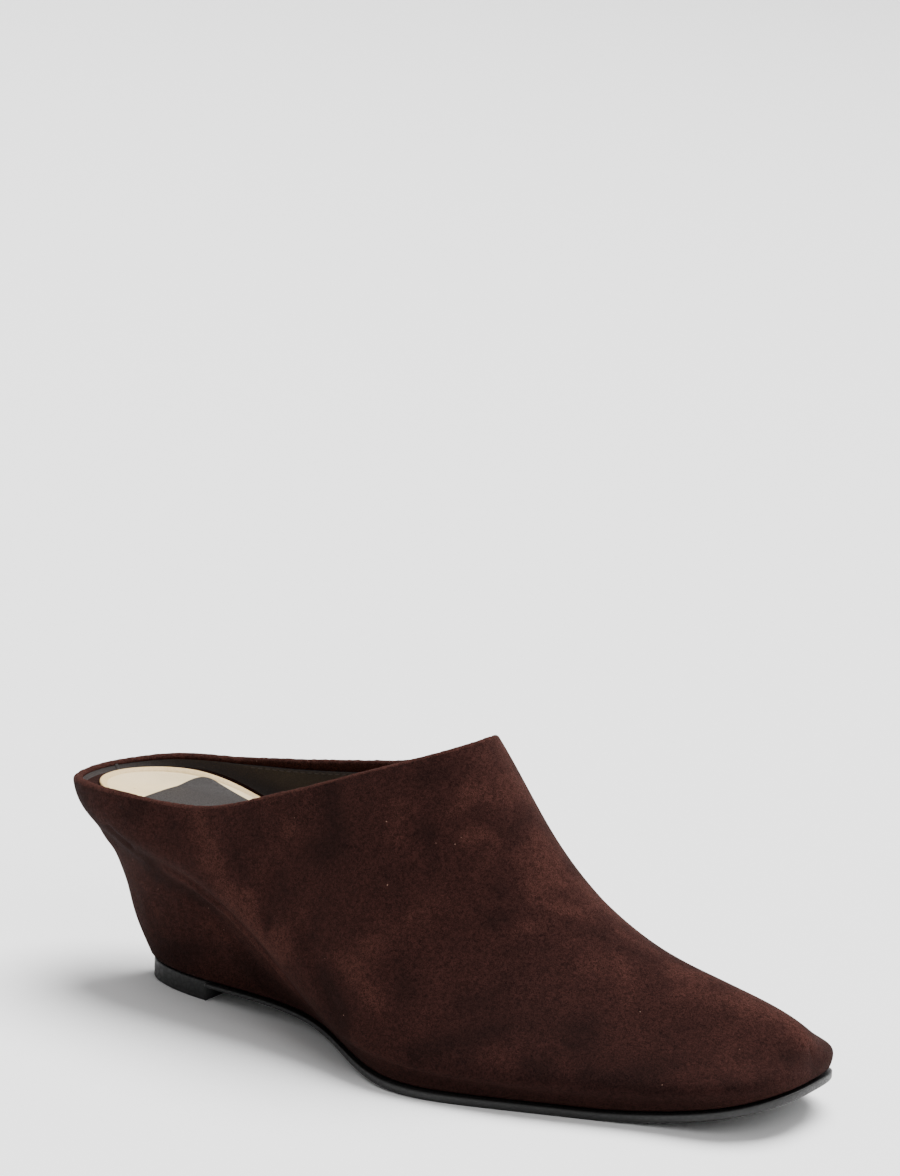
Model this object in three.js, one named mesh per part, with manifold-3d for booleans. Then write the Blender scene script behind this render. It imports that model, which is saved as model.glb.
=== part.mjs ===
// A right-foot mule with a closed soft-square toe and a low covered wedge heel.
// Millimetres. While it is built, x is 0 at the back of the top lift and runs to the toe,
// y runs to the wearer's left, the inner side of the foot, and z is up from the floor.
import * as THREE from 'three';
import { mergeVertices } from 'three/addons/utils/BufferGeometryUtils.js';
import Module from 'manifold-3d';

const { lerp, clamp, smoothstep } = THREE.MathUtils;
const wasm = await Module();
wasm.setup();

// Driving sizes of the last
const SOLE_LENGTH = 215;
const BALL_WIDTH = 79;
const INSTEP_HEIGHT = 80.8;
const HEEL_HEIGHT = 51.5;
const COLLAR_OVERHANG = 28.6;
const HEEL_ROUND = 40;
const TOE_ROUND = 22;
const HEEL_EXPONENT = 2.15;
const TOE_EXPONENT = 2.8;
const TOE_SPRING = 10.5;
const TOE_DROP_SHARE = 0.42;

// Driving sizes of the pieces
const LIFT_THICKNESS = 5.8;
const LIFT_LENGTH = 27;
const LIFT_INSET = 0.5;
const SOLE_THICKNESS = 2.4;
const SOLE_LIP = 1.1;
const UPPER_WALL = 1.8;
const INSOLE_THICKNESS = 4;
const WEDGE_TIP_THICKNESS = 1;
const SOCK_THICKNESS = 1.6;
const SOCK_MARGIN = 2.6;
const PATCH_THICKNESS = 0.6;
const PATCH_START = -4.5;
const PATCH_LENGTH = 62;
const PATCH_WIDTH = 39;
const PATCH_ROUND = 9;
const FIT_GAP = 0.3;

// The tread's flat spot, the wedge's tip and the throat, as shares of the sole length
const FLAT_START_SHARE = 0.6;
const FLAT_END_SHARE = 0.745;
const THROAT_SHARE = 0.545;

// The footbed's rise from the toe to the heel: share of the sole length, share of the heel's rise
const WEDGE_LINE = [
  { along: -0.13, rise: 1.01 },
  { along: 0.04, rise: 0.935 },
  { along: 0.22, rise: 0.665 },
  { along: 0.335, rise: 0.445 },
  { along: 0.43, rise: 0.262 },
  { along: 0.51, rise: 0.125 },
  { along: 0.58, rise: 0.04 },
  { along: 0.66, rise: 0 },
];

// Half widths of the outer (lateral) side at four levels, as shares of the ball width
const OUTER_WIDTHS = [
  { along: 0.0, base: 0.212, waist: 0.242, ridge: 0.289, side: 0.318 },
  { along: 0.1, base: 0.217, waist: 0.252, ridge: 0.320, side: 0.345 },
  { along: 0.22, base: 0.228, waist: 0.272, ridge: 0.361, side: 0.382 },
  { along: 0.33, base: 0.290, waist: 0.340, ridge: 0.417, side: 0.408 },
  { along: 0.42, base: 0.433, waist: 0.463, ridge: 0.491, side: 0.408 },
  { along: 0.51, base: 0.560, waist: 0.566, ridge: 0.570, side: 0.400 },
  { along: 0.62, base: 0.535, waist: 0.556, ridge: 0.562, side: 0.343 },
  { along: 0.74, base: 0.440, waist: 0.480, ridge: 0.495, side: 0.300 },
  { along: 0.86, base: 0.350, waist: 0.380, ridge: 0.390, side: 0.232 },
  { along: 1.0, base: 0.272, waist: 0.292, ridge: 0.296, side: 0.172 },
];

// The same for the inner (medial) side
const INNER_WIDTHS = [
  { along: 0.0, base: 0.205, waist: 0.232, ridge: 0.289, side: 0.335 },
  { along: 0.1, base: 0.205, waist: 0.236, ridge: 0.318, side: 0.352 },
  { along: 0.22, base: 0.212, waist: 0.245, ridge: 0.344, side: 0.378 },
  { along: 0.33, base: 0.255, waist: 0.275, ridge: 0.362, side: 0.400 },
  { along: 0.42, base: 0.306, waist: 0.327, ridge: 0.382, side: 0.403 },
  { along: 0.51, base: 0.357, waist: 0.388, ridge: 0.415, side: 0.408 },
  { along: 0.62, base: 0.405, waist: 0.438, ridge: 0.456, side: 0.340 },
  { along: 0.74, base: 0.392, waist: 0.425, ridge: 0.436, side: 0.285 },
  { along: 0.86, base: 0.330, waist: 0.356, ridge: 0.361, side: 0.218 },
  { along: 1.0, base: 0.270, waist: 0.287, ridge: 0.290, side: 0.176 },
];

// The centre line's swing to the inner side as a share of the ball width, and the heights of the levels
// over the wedge line as shares of the instep height
const HEIGHTS = [
  { along: 0.0, swing: -0.045, waist: -0.030, ridge: -0.067, side: 0.221, crown: 0.600 },
  { along: 0.1, swing: -0.040, waist: -0.020, ridge: -0.043, side: 0.228, crown: 0.740 },
  { along: 0.22, swing: -0.030, waist: -0.020, ridge: -0.002, side: 0.288, crown: 0.945 },
  { along: 0.33, swing: -0.035, waist: -0.020, ridge: -0.023, side: 0.368, crown: 1.080 },
  { along: 0.42, swing: -0.052, waist: -0.015, ridge: -0.020, side: 0.434, crown: 1.080 },
  { along: 0.51, swing: -0.060, waist: 0.020, ridge: 0.051, side: 0.512, crown: 1.075 },
  { along: 0.62, swing: -0.048, waist: 0.046, ridge: 0.116, side: 0.453, crown: 0.776 },
  { along: 0.74, swing: -0.025, waist: 0.056, ridge: 0.130, side: 0.340, crown: 0.495 },
  { along: 0.86, swing: -0.010, waist: 0.049, ridge: 0.109, side: 0.246, crown: 0.368 },
  { along: 1.0, swing: -0.010, waist: 0.036, ridge: 0.076, side: 0.125, crown: 0.190 },
];

// How each level's end stands back from the heel and the toe, as shares of the overhang and the toe's
// rounding, and how much of the wedge's rise it follows
const LEVELS = [
  { name: 'base', heelBack: 0.035, toeBack: 0.11, wedgeShare: 0 },
  { name: 'waist', heelBack: 0.37, toeBack: 0.08, wedgeShare: 0.5 },
  { name: 'ridge', heelBack: 0.636, toeBack: 0.09, wedgeShare: 1 },
  { name: 'side', heelBack: 1, toeBack: 0.13, wedgeShare: 1 },
  { name: 'crown', heelBack: 0.465, toeBack: 0.18, wedgeShare: 1 },
];

// The collar's edge from the back to the throat: its height over the wedge line, as shares of the
// throat's, on the outer and inner side
const COLLAR = [
  { along: 0.0, outer: 0.090, inner: 0.090 },
  { along: 0.1, outer: 0.155, inner: 0.134 },
  { along: 0.25, outer: 0.207, inner: 0.163 },
  { along: 0.5, outer: 0.330, inner: 0.354 },
  { along: 0.75, outer: 0.672, inner: 0.628 },
  { along: 1.0, outer: 1.0, inner: 1.0 },
];

// How finely the faces follow the curves
const SPANS_PER_LEVEL = 3;
const ROWS_IN_HEEL = 8;
const ROWS_BACK = 15;
const ROWS_FRONT = 13;
const ROW_CROWDING = 1.4;
const ROWS_IN_TOE = 7;
const COLLAR_ROWS = 52;
const COLLAR_COLUMNS = 24;
const WEDGE_ROWS = 26;
const FOOTBED_ROWS = 100;
const PATCH_ROWS = 26;
const HALVINGS = 30;
const EDGE_STEP_SHARE = 1e-4;

const RISE = HEEL_HEIGHT - LIFT_THICKNESS - FIT_GAP - INSOLE_THICKNESS;
const BEYOND_SIDES = 2 * BALL_WIDTH;
const BEYOND_ENDS = 2 * SOLE_LENGTH;
const BEHIND_COLLAR = -2 * COLLAR_OVERHANG;
const COLLAR_BLEND = BALL_WIDTH / 8;

// A natural cubic spline through values at rising knots, as a function
function naturalSpline(knots, values) {
  const last = knots.length - 1;
  const bend = new Array(last + 1).fill(0);
  const ratio = new Array(last + 1).fill(0);
  const carry = new Array(last + 1).fill(0);
  for (let i = 1; i < last; i += 1) {
    const before = knots[i] - knots[i - 1];
    const after = knots[i + 1] - knots[i];
    const pull = (values[i + 1] - values[i]) / after - (values[i] - values[i - 1]) / before;
    const pivot = 2 * (before + after) - before * ratio[i - 1];
    ratio[i] = after / pivot;
    carry[i] = (6 * pull - before * carry[i - 1]) / pivot;
  }
  for (let i = last - 1; i > 0; i -= 1) {
    bend[i] = carry[i] - ratio[i] * bend[i + 1];
  }
  return (at) => {
    let i = 0;
    while (i < last - 1 && at > knots[i + 1]) {
      i += 1;
    }
    const span = knots[i + 1] - knots[i];
    const right = (at - knots[i]) / span;
    const left = 1 - right;
    const curve = (left ** 3 - left) * bend[i] + (right ** 3 - right) * bend[i + 1];
    return left * values[i] + right * values[i + 1] + curve * span * span / 6;
  };
}

const column = (table, name) => naturalSpline(table.map((row) => row.along), table.map((row) => row[name]));
const LEVEL_NAMES = LEVELS.map((level) => level.name);
const SIDE_NAMES = LEVEL_NAMES.slice(0, -1);
const outerWidth = Object.fromEntries(SIDE_NAMES.map((name) => [name, column(OUTER_WIDTHS, name)]));
const innerWidth = Object.fromEntries(SIDE_NAMES.map((name) => [name, column(INNER_WIDTHS, name)]));
const levelHeight = Object.fromEntries(LEVEL_NAMES.slice(1).map((name) => [name, column(HEIGHTS, name)]));
const swing = column(HEIGHTS, 'swing');
const wedgeRise = column(WEDGE_LINE, 'rise');
const collarOuter = column(COLLAR, 'outer');
const collarInner = column(COLLAR, 'inner');

// The underside of the sole: high at the breast, flat under the ball, sprung at the toe
function tread(x) {
  const flatStart = FLAT_START_SHARE * SOLE_LENGTH;
  const flatEnd = FLAT_END_SHARE * SOLE_LENGTH;
  const back = smoothstep(flatStart - x, 0, flatStart - LIFT_LENGTH);
  const front = Math.max(0, (x - flatEnd) / (SOLE_LENGTH - flatEnd));
  return (LIFT_THICKNESS - SOLE_THICKNESS) * back + TOE_SPRING * front * front;
}

const soleTop = (x) => tread(x) + SOLE_THICKNESS;
const upperFoot = (x) => soleTop(x) + FIT_GAP;

// The wedge line carries the insole
function wedgeLine(x) {
  const along = x / SOLE_LENGTH;
  const tip = WEDGE_LINE.at(-1).along;
  return upperFoot(x) + (along < tip ? Math.max(0, wedgeRise(along)) * RISE : 0);
}
const footbed = (x) => wedgeLine(x) + INSOLE_THICKNESS;

// A superellipse end: 0 at the tip and 1 where the straight part starts
function roundEnd(distance, length, exponent) {
  const inside = 1 - Math.min(1, Math.max(0, distance / length));
  return (1 - inside ** exponent) ** (1 / exponent);
}

function levelX(index, along) {
  const back = -LEVELS[index].heelBack * COLLAR_OVERHANG;
  const front = SOLE_LENGTH - LEVELS[index].toeBack * TOE_ROUND;
  return back + (front - back) * along;
}

// The nine points of one section: base to crown on the outer side, then down the inner side
function levelPoints(along) {
  const toeEnd = roundEnd((1 - along) * SOLE_LENGTH, TOE_ROUND, TOE_EXPONENT);
  const ends = roundEnd(along * SOLE_LENGTH, HEEL_ROUND, HEEL_EXPONENT) * toeEnd;
  const toeTop = 1 - TOE_DROP_SHARE * (1 - toeEnd);
  const centre = swing(along) * BALL_WIDTH;
  const foot = upperFoot(levelX(0, along));
  const ridgeX = levelX(LEVEL_NAMES.indexOf('ridge'), along);
  const wedge = wedgeLine(ridgeX) - upperFoot(ridgeX);
  const outer = [];
  const inner = [];
  LEVELS.forEach((level, index) => {
    const x = levelX(index, along);
    const rise = index === 0 ? 0 : levelHeight[level.name](along) * INSTEP_HEIGHT * toeTop;
    const z = foot + level.wedgeShare * wedge + rise;
    if (level.name === 'crown') {
      outer.push([x, centre, z]);
      return;
    }
    outer.push([x, centre - outerWidth[level.name](along) * BALL_WIDTH * ends, z]);
    inner.unshift([x, centre + innerWidth[level.name](along) * BALL_WIDTH * ends, z]);
  });
  return outer.concat(inner);
}

// The smooth curve of one section, as a function of the level number
function sectionCurve(along) {
  const points = levelPoints(along);
  const knots = points.map((_, index) => index);
  const axes = [0, 1, 2].map((axis) => naturalSpline(knots, points.map((point) => point[axis])));
  return (at) => new THREE.Vector3(axes[0](at), axes[1](at), axes[2](at));
}

// Rows along the shoe, close together round the heel, the throat and the toe
function rowPlaces() {
  const heelEnd = HEEL_ROUND / SOLE_LENGTH;
  const toeStart = 1 - TOE_ROUND / SOLE_LENGTH;
  const places = [];
  for (let i = 0; i < ROWS_IN_HEEL; i += 1) {
    const turn = (i / ROWS_IN_HEEL) * Math.PI / 2;
    places.push(heelEnd * (1 - Math.cos(turn) ** (2 / HEEL_EXPONENT)));
  }
  for (let i = ROWS_BACK; i > 0; i -= 1) {
    places.push(lerp(THROAT_SHARE, heelEnd, (i / ROWS_BACK) ** ROW_CROWDING));
  }
  for (let i = 0; i < ROWS_FRONT; i += 1) {
    places.push(lerp(THROAT_SHARE, toeStart, (i / ROWS_FRONT) ** ROW_CROWDING));
  }
  for (let i = ROWS_IN_TOE; i >= 0; i -= 1) {
    const turn = (i / ROWS_IN_TOE) * Math.PI / 2;
    places.push(1 - (1 - toeStart) * (1 - Math.cos(turn) ** (2 / TOE_EXPONENT)));
  }
  return places;
}

// The triangles turned so that they face out of the body they close
function facesOut(position, index) {
  const [a, b, c] = [new THREE.Vector3(), new THREE.Vector3(), new THREE.Vector3()];
  let volume = 0;
  for (let i = 0; i < index.length; i += 3) {
    a.fromBufferAttribute(position, index[i]);
    b.fromBufferAttribute(position, index[i + 1]);
    c.fromBufferAttribute(position, index[i + 2]);
    volume += a.dot(b.cross(c)) / 6;
  }
  return volume < 0 ? index.toReversed() : index;
}

// Indexed triangles to a closed geometry with shared vertices and no collapsed faces
function closedGeometry(points, faces) {
  const geometry = new THREE.BufferGeometry();
  const coordinates = points.flatMap((point) => point.toArray());
  geometry.setAttribute('position', new THREE.Float32BufferAttribute(coordinates, 3));
  geometry.setIndex(faces.flat());
  const merged = mergeVertices(geometry, 1e-4);
  const index = merged.index.array;
  const kept = [];
  for (let i = 0; i < index.length; i += 3) {
    const [a, b, c] = index.slice(i, i + 3);
    if (a !== b && b !== c && c !== a) {
      kept.push(a, b, c);
    }
  }
  merged.setIndex(facesOut(merged.attributes.position, kept));
  return merged;
}

// A tube of rings, closed round and covered at its two ends by fans of their first points
function ringSolid(rings) {
  const count = rings[0].length;
  const points = rings.flat();
  const faces = [];
  for (let row = 0; row < rings.length - 1; row += 1) {
    for (let at = 0; at < count; at += 1) {
      const a = row * count + at;
      const b = row * count + (at + 1) % count;
      faces.push([a, a + count, b + count], [a, b + count, b]);
    }
  }
  const lastRow = (rings.length - 1) * count;
  for (let at = 1; at < count - 1; at += 1) {
    faces.push([0, at, at + 1], [lastRow, lastRow + at + 1, lastRow + at]);
  }
  return closedGeometry(points, faces);
}

// Outward normals of the last's surface at every point of its rows
function surfaceNormals(rows) {
  const normals = rows.map((row) => row.map(() => new THREE.Vector3()));
  const edgeAlong = new THREE.Vector3();
  const edgeAcross = new THREE.Vector3();
  for (let i = 0; i < rows.length - 1; i += 1) {
    for (let j = 0; j < rows[0].length - 1; j += 1) {
      edgeAlong.subVectors(rows[i + 1][j + 1], rows[i][j]);
      edgeAcross.subVectors(rows[i][j + 1], rows[i + 1][j]);
      const face = new THREE.Vector3().crossVectors(edgeAlong, edgeAcross);
      [normals[i], normals[i + 1]].forEach((row) => {
        row[j].add(face);
        row[j + 1].add(face);
      });
    }
  }
  [normals[0], normals.at(-1)].forEach((row) => {
    for (let j = 0; j <= (row.length - 1) / 2; j += 1) {
      const shared = row[j].clone().add(row[row.length - 1 - j]);
      row[j].copy(shared);
      row[row.length - 1 - j].copy(shared);
    }
  });
  normals.flat().forEach((normal) => normal.normalize());
  return normals;
}

// The last's surface moved inwards by an inset, closed underneath at a given depth below its foot
function lastSolid(inset, depth) {
  const spans = SPANS_PER_LEVEL * (2 * LEVELS.length - 2);
  const rows = rowPlaces().map((along) => {
    const curve = sectionCurve(along);
    return Array.from({ length: spans + 1 }, (_, j) => curve(j / SPANS_PER_LEVEL));
  });
  const normals = surfaceNormals(rows);
  const rings = rows.map((row, i) => {
    const ring = row.map((point, j) => point.clone().addScaledVector(normals[i][j], -inset));
    const ends = [ring[0], ring.at(-1)].map((p) => new THREE.Vector3(p.x, p.y, upperFoot(p.x) - depth));
    return inset > 0 ? [ends[0], ...ring, ends[1]] : ring;
  });
  return ringSolid(rings);
}

// A block across the whole width between two height functions of x and y
function heightBlock(xStart, xEnd, low, high, rows, across) {
  const rings = [];
  for (let i = 0; i <= rows; i += 1) {
    const x = lerp(xStart, xEnd, i / rows);
    const ys = Array.from({ length: across + 1 }, (_, j) => lerp(-BEYOND_SIDES, BEYOND_SIDES, j / across));
    const under = ys.map((y) => new THREE.Vector3(x, y, low(x, y)));
    const over = ys.map((y) => new THREE.Vector3(x, y, high(x, y))).reverse();
    rings.push([...under, ...over].reverse());
  }
  return ringSolid(rings);
}

// Manifold booleans on three.js geometries
function toManifold(geometry) {
  const vertProperties = new Float32Array(geometry.attributes.position.array);
  const triVerts = new Uint32Array(geometry.index.array);
  return new wasm.Manifold(new wasm.Mesh({ numProp: 3, vertProperties, triVerts }));
}

function fromManifold(solid) {
  const mesh = solid.getMesh();
  const geometry = new THREE.BufferGeometry();
  geometry.setAttribute('position', new THREE.BufferAttribute(new Float32Array(mesh.vertProperties), 3));
  geometry.setIndex(new THREE.BufferAttribute(new Uint32Array(mesh.triVerts), 1));
  geometry.computeVertexNormals();
  return geometry;
}

const without = (solid, cutter) => toManifold(solid).subtract(toManifold(cutter));
const within = (solid, space) => fromManifold(toManifold(solid).intersect(toManifold(space)));

const throatX = levelX(LEVEL_NAMES.indexOf('crown'), THROAT_SHARE);
const throatRise = levelPoints(THROAT_SHARE)[LEVEL_NAMES.indexOf('crown')][2] - wedgeLine(throatX);

// The collar's edge: its own height on each side, blended across the middle of the shoe
function collarHeight(x, y) {
  const along = clamp((x + COLLAR_OVERHANG) / (throatX + COLLAR_OVERHANG), 0, 1);
  const blend = smoothstep(y, -COLLAR_BLEND, COLLAR_BLEND);
  return wedgeLine(x) + throatRise * lerp(collarOuter(along), collarInner(along), blend);
}

// A thin plate between two edges, each row an outer and an inner point, and two heights over x
function plateSolid(edgeRows, low, high) {
  return ringSolid(edgeRows.map(([outer, inner]) => [
    new THREE.Vector3(outer.x, outer.y, high(outer.x)),
    new THREE.Vector3(inner.x, inner.y, high(inner.x)),
    new THREE.Vector3(inner.x, inner.y, low(inner.x)),
    new THREE.Vector3(outer.x, outer.y, low(outer.x)),
  ]));
}

// Moves the plan outline of a curve that runs with the shoe outwards by an outset
function outsetRows(edge, places, outset) {
  return places.map((along) => {
    const here = edge(along);
    const before = edge(Math.max(0, along - EDGE_STEP_SHARE));
    const after = edge(Math.min(1, along + EDGE_STEP_SHARE));
    return [0, 1].map((side) => {
      const tangent = new THREE.Vector2().subVectors(after[side], before[side]).normalize();
      const outwards = new THREE.Vector2(tangent.y, -tangent.x).multiplyScalar(side === 0 ? 1 : -1);
      return here[side].clone().addScaledVector(outwards, outset);
    });
  });
}

// The outline of the upper's foot, where it meets the sole
function footEdge(along) {
  const points = levelPoints(along);
  return [points[0], points.at(-1)].map(([x, y]) => new THREE.Vector2(x, y));
}

// The outline of the upper at the height of the footbed
function footbedEdge(along) {
  const curve = sectionCurve(along);
  const lastLevel = 2 * LEVELS.length - 2;
  return [false, true].map((mirrored) => {
    let low = 0;
    let high = LEVEL_NAMES.indexOf('side');
    const pointAt = (level) => curve(mirrored ? lastLevel - level : level);
    for (let i = 0; i < HALVINGS; i += 1) {
      const middle = (low + high) / 2;
      const point = pointAt(middle);
      if (point.z < footbed(point.x)) {
        low = middle;
      } else {
        high = middle;
      }
    }
    const found = pointAt(low);
    return new THREE.Vector2(found.x, found.y);
  });
}

const flat = (height) => () => height;
const FAR_BELOW = flat(-BEYOND_ENDS);
const FAR_ABOVE = flat(BEYOND_ENDS);
const block = (xStart, xEnd) => heightBlock(xStart, xEnd, FAR_BELOW, FAR_ABOVE, 1, 1);

function makeTopLift() {
  const rows = outsetRows(footEdge, rowPlaces(), -LIFT_INSET);
  return within(plateSolid(rows, flat(0), flat(LIFT_THICKNESS)), block(-BEYOND_ENDS, LIFT_LENGTH));
}

function makeOutsole() {
  const rows = outsetRows(footEdge, rowPlaces(), SOLE_LIP);
  return within(plateSolid(rows, tread, soleTop), block(LIFT_LENGTH + FIT_GAP, BEYOND_ENDS));
}

// The hollow shell: the last's form less the same form one wall further in, and less all above the collar
function makeUpper() {
  const shell = without(lastSolid(0, 0), lastSolid(UPPER_WALL, SOLE_THICKNESS));
  const above = heightBlock(BEHIND_COLLAR, throatX, collarHeight, FAR_ABOVE, COLLAR_ROWS, COLLAR_COLUMNS);
  return fromManifold(shell.subtract(toManifold(above)));
}

// Where the wedge has thinned to its tip
function wedgeTipX() {
  let thick = LIFT_LENGTH;
  let thin = WEDGE_LINE.at(-1).along * SOLE_LENGTH;
  for (let i = 0; i < HALVINGS; i += 1) {
    const middle = (thick + thin) / 2;
    const thickness = wedgeLine(middle) - FIT_GAP - upperFoot(middle);
    if (thickness > WEDGE_TIP_THICKNESS) {
      thick = middle;
    } else {
      thin = middle;
    }
  }
  return thick;
}

function makeWedge() {
  const core = lastSolid(UPPER_WALL + FIT_GAP, SOLE_THICKNESS);
  const top = (x) => wedgeLine(x) - FIT_GAP;
  return within(core, heightBlock(BEHIND_COLLAR, wedgeTipX(), upperFoot, top, WEDGE_ROWS, 1));
}

function makeInsole() {
  const core = lastSolid(UPPER_WALL + FIT_GAP, SOLE_THICKNESS);
  return within(core, heightBlock(BEHIND_COLLAR, BEYOND_ENDS, wedgeLine, footbed, FOOTBED_ROWS, 1));
}

const sockLow = (x) => footbed(x) + FIT_GAP;
const sockHigh = (x) => sockLow(x) + SOCK_THICKNESS;

function makeSock() {
  const inset = UPPER_WALL + FIT_GAP + SOCK_MARGIN;
  return plateSolid(outsetRows(footbedEdge, rowPlaces(), -inset), sockLow, sockHigh);
}

function makePatch() {
  const rows = [];
  for (let i = 0; i <= PATCH_ROWS; i += 1) {
    const turn = (i / PATCH_ROWS) * Math.PI;
    const x = PATCH_START + PATCH_LENGTH * (1 - Math.cos(turn)) / 2;
    const centre = swing(x / SOLE_LENGTH) * BALL_WIDTH;
    const fromEnd = Math.min(x - PATCH_START, PATCH_START + PATCH_LENGTH - x);
    const half = PATCH_WIDTH / 2 * roundEnd(fromEnd, PATCH_ROUND, TOE_EXPONENT);
    rows.push([new THREE.Vector2(x, centre - half), new THREE.Vector2(x, centre + half)]);
  }
  const low = (x) => sockHigh(x) + FIT_GAP;
  return plateSolid(rows, low, (x) => low(x) + PATCH_THICKNESS);
}

const PIECES = [
  { name: 'top_lift', make: makeTopLift, color: 0x1d1b1b, roughness: 0.55 },
  { name: 'outsole', make: makeOutsole, color: 0x232121, roughness: 0.5 },
  { name: 'wedge', make: makeWedge, color: 0x8a6f52, roughness: 0.9 },
  { name: 'upper', make: makeUpper, color: 0x3c211d, roughness: 0.95 },
  { name: 'insole', make: makeInsole, color: 0x35201c, roughness: 0.95 },
  { name: 'sock', make: makeSock, color: 0xd9c9ae, roughness: 0.7 },
  { name: 'sock_patch', make: makePatch, color: 0x5c5754, roughness: 0.6 },
];

// The shoe stands with its origin under the middle of its bounding box
const shoe = new THREE.Group();
for (const { name, make, color, roughness } of PIECES) {
  const mesh = new THREE.Mesh(make(), new THREE.MeshStandardMaterial({ color, roughness, metalness: 0 }));
  mesh.name = name;
  shoe.add(mesh);
}
const bounds = new THREE.Box3().setFromObject(shoe);
const boxMiddle = bounds.getCenter(new THREE.Vector3());
shoe.position.set(-boxMiddle.x, -boxMiddle.y, -bounds.min.z);

export default shoe;
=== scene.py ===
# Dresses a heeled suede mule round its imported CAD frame.
# Shapes are worked out in millimetres in the last's own frame, where x is 0 at the back of the top
# lift and runs to the toe, y runs to the inner side of the foot and z is up from the floor. They are
# put into the frame in metres.
import math

import bpy
import numpy as np
from bpy.props import FloatProperty, FloatVectorProperty, IntProperty, PointerProperty
from mathutils import Matrix, Vector


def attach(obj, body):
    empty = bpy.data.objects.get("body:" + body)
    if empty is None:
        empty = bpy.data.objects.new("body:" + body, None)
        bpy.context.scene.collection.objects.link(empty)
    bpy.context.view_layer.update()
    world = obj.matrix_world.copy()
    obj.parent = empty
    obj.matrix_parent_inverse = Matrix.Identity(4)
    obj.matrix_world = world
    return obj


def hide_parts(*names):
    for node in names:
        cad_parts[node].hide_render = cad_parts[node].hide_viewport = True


bl_info = {
    "name": "Heeled suede mule",
    "version": (1, 0, 0),
    "blender": (4, 5, 0),
    "location": "View3D > Sidebar > Mule",
    "description": "Suede, lining, footbed, sole and a plain studio for a heeled mule",
    "category": "Add Mesh",
}

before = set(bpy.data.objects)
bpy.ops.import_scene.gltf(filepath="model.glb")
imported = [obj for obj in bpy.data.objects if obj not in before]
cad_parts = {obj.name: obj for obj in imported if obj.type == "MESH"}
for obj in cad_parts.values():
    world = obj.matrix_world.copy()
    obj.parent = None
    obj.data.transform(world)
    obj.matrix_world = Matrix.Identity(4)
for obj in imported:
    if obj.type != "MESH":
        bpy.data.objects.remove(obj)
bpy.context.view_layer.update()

# The last's origin in the frame, in millimetres, and millimetres to metres
LAST_ORIGIN = np.array([-92.854, 8.851, 0.0])
MM = 0.001

# Sizes of the last, as in the solids
SOLE_LENGTH = 215
BALL_WIDTH = 79
INSTEP_HEIGHT = 80.8
HEEL_HEIGHT = 51.5
COLLAR_OVERHANG = 28.6
HEEL_ROUND = 40
TOE_ROUND = 22
HEEL_EXPONENT = 2.15
TOE_EXPONENT = 2.8
TOE_SPRING = 10.5
TOE_DROP_SHARE = 0.42
LIFT_THICKNESS = 5.8
LIFT_LENGTH = 27
LIFT_INSET = 0.5
SOLE_THICKNESS = 2.4
SOLE_LIP = 1.1
INSOLE_THICKNESS = 4
SOCK_THICKNESS = 1.6
FIT_GAP = 0.3
PATCH_START = -4.5
PATCH_LENGTH = 62
PATCH_WIDTH = 39
PATCH_ROUND = 9
FLAT_START_SHARE = 0.6
FLAT_END_SHARE = 0.745
THROAT_SHARE = 0.545
RISE = HEEL_HEIGHT - LIFT_THICKNESS - FIT_GAP - INSOLE_THICKNESS
COLLAR_BLEND = BALL_WIDTH / 8


def columns(names, *rows):
    """A short table as a dictionary of its named columns."""
    return dict(zip(names.split(), np.array(rows, float).T))


# The footbed's rise from the toe to the heel: share of the sole length, share of the heel's rise
WEDGE_LINE = columns(
    "along rise",
    (-0.13, 1.01),
    (0.04, 0.935),
    (0.22, 0.665),
    (0.335, 0.445),
    (0.43, 0.262),
    (0.51, 0.125),
    (0.58, 0.04),
    (0.66, 0.0),
)

# Half widths of the outer side, then of the inner side, as shares of the ball width
OUTER_WIDTHS = columns(
    "along base waist ridge side",
    (0.0, 0.212, 0.242, 0.289, 0.318),
    (0.1, 0.217, 0.252, 0.320, 0.345),
    (0.22, 0.228, 0.272, 0.361, 0.382),
    (0.33, 0.290, 0.340, 0.417, 0.408),
    (0.42, 0.433, 0.463, 0.491, 0.408),
    (0.51, 0.560, 0.566, 0.570, 0.400),
    (0.62, 0.535, 0.556, 0.562, 0.343),
    (0.74, 0.440, 0.480, 0.495, 0.300),
    (0.86, 0.350, 0.380, 0.390, 0.232),
    (1.0, 0.272, 0.292, 0.296, 0.172),
)
INNER_WIDTHS = columns(
    "along base waist ridge side",
    (0.0, 0.205, 0.232, 0.289, 0.335),
    (0.1, 0.205, 0.236, 0.318, 0.352),
    (0.22, 0.212, 0.245, 0.344, 0.378),
    (0.33, 0.255, 0.275, 0.362, 0.400),
    (0.42, 0.306, 0.327, 0.382, 0.403),
    (0.51, 0.357, 0.388, 0.415, 0.408),
    (0.62, 0.405, 0.438, 0.456, 0.340),
    (0.74, 0.392, 0.425, 0.436, 0.285),
    (0.86, 0.330, 0.356, 0.361, 0.218),
    (1.0, 0.270, 0.287, 0.290, 0.176),
)

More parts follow.
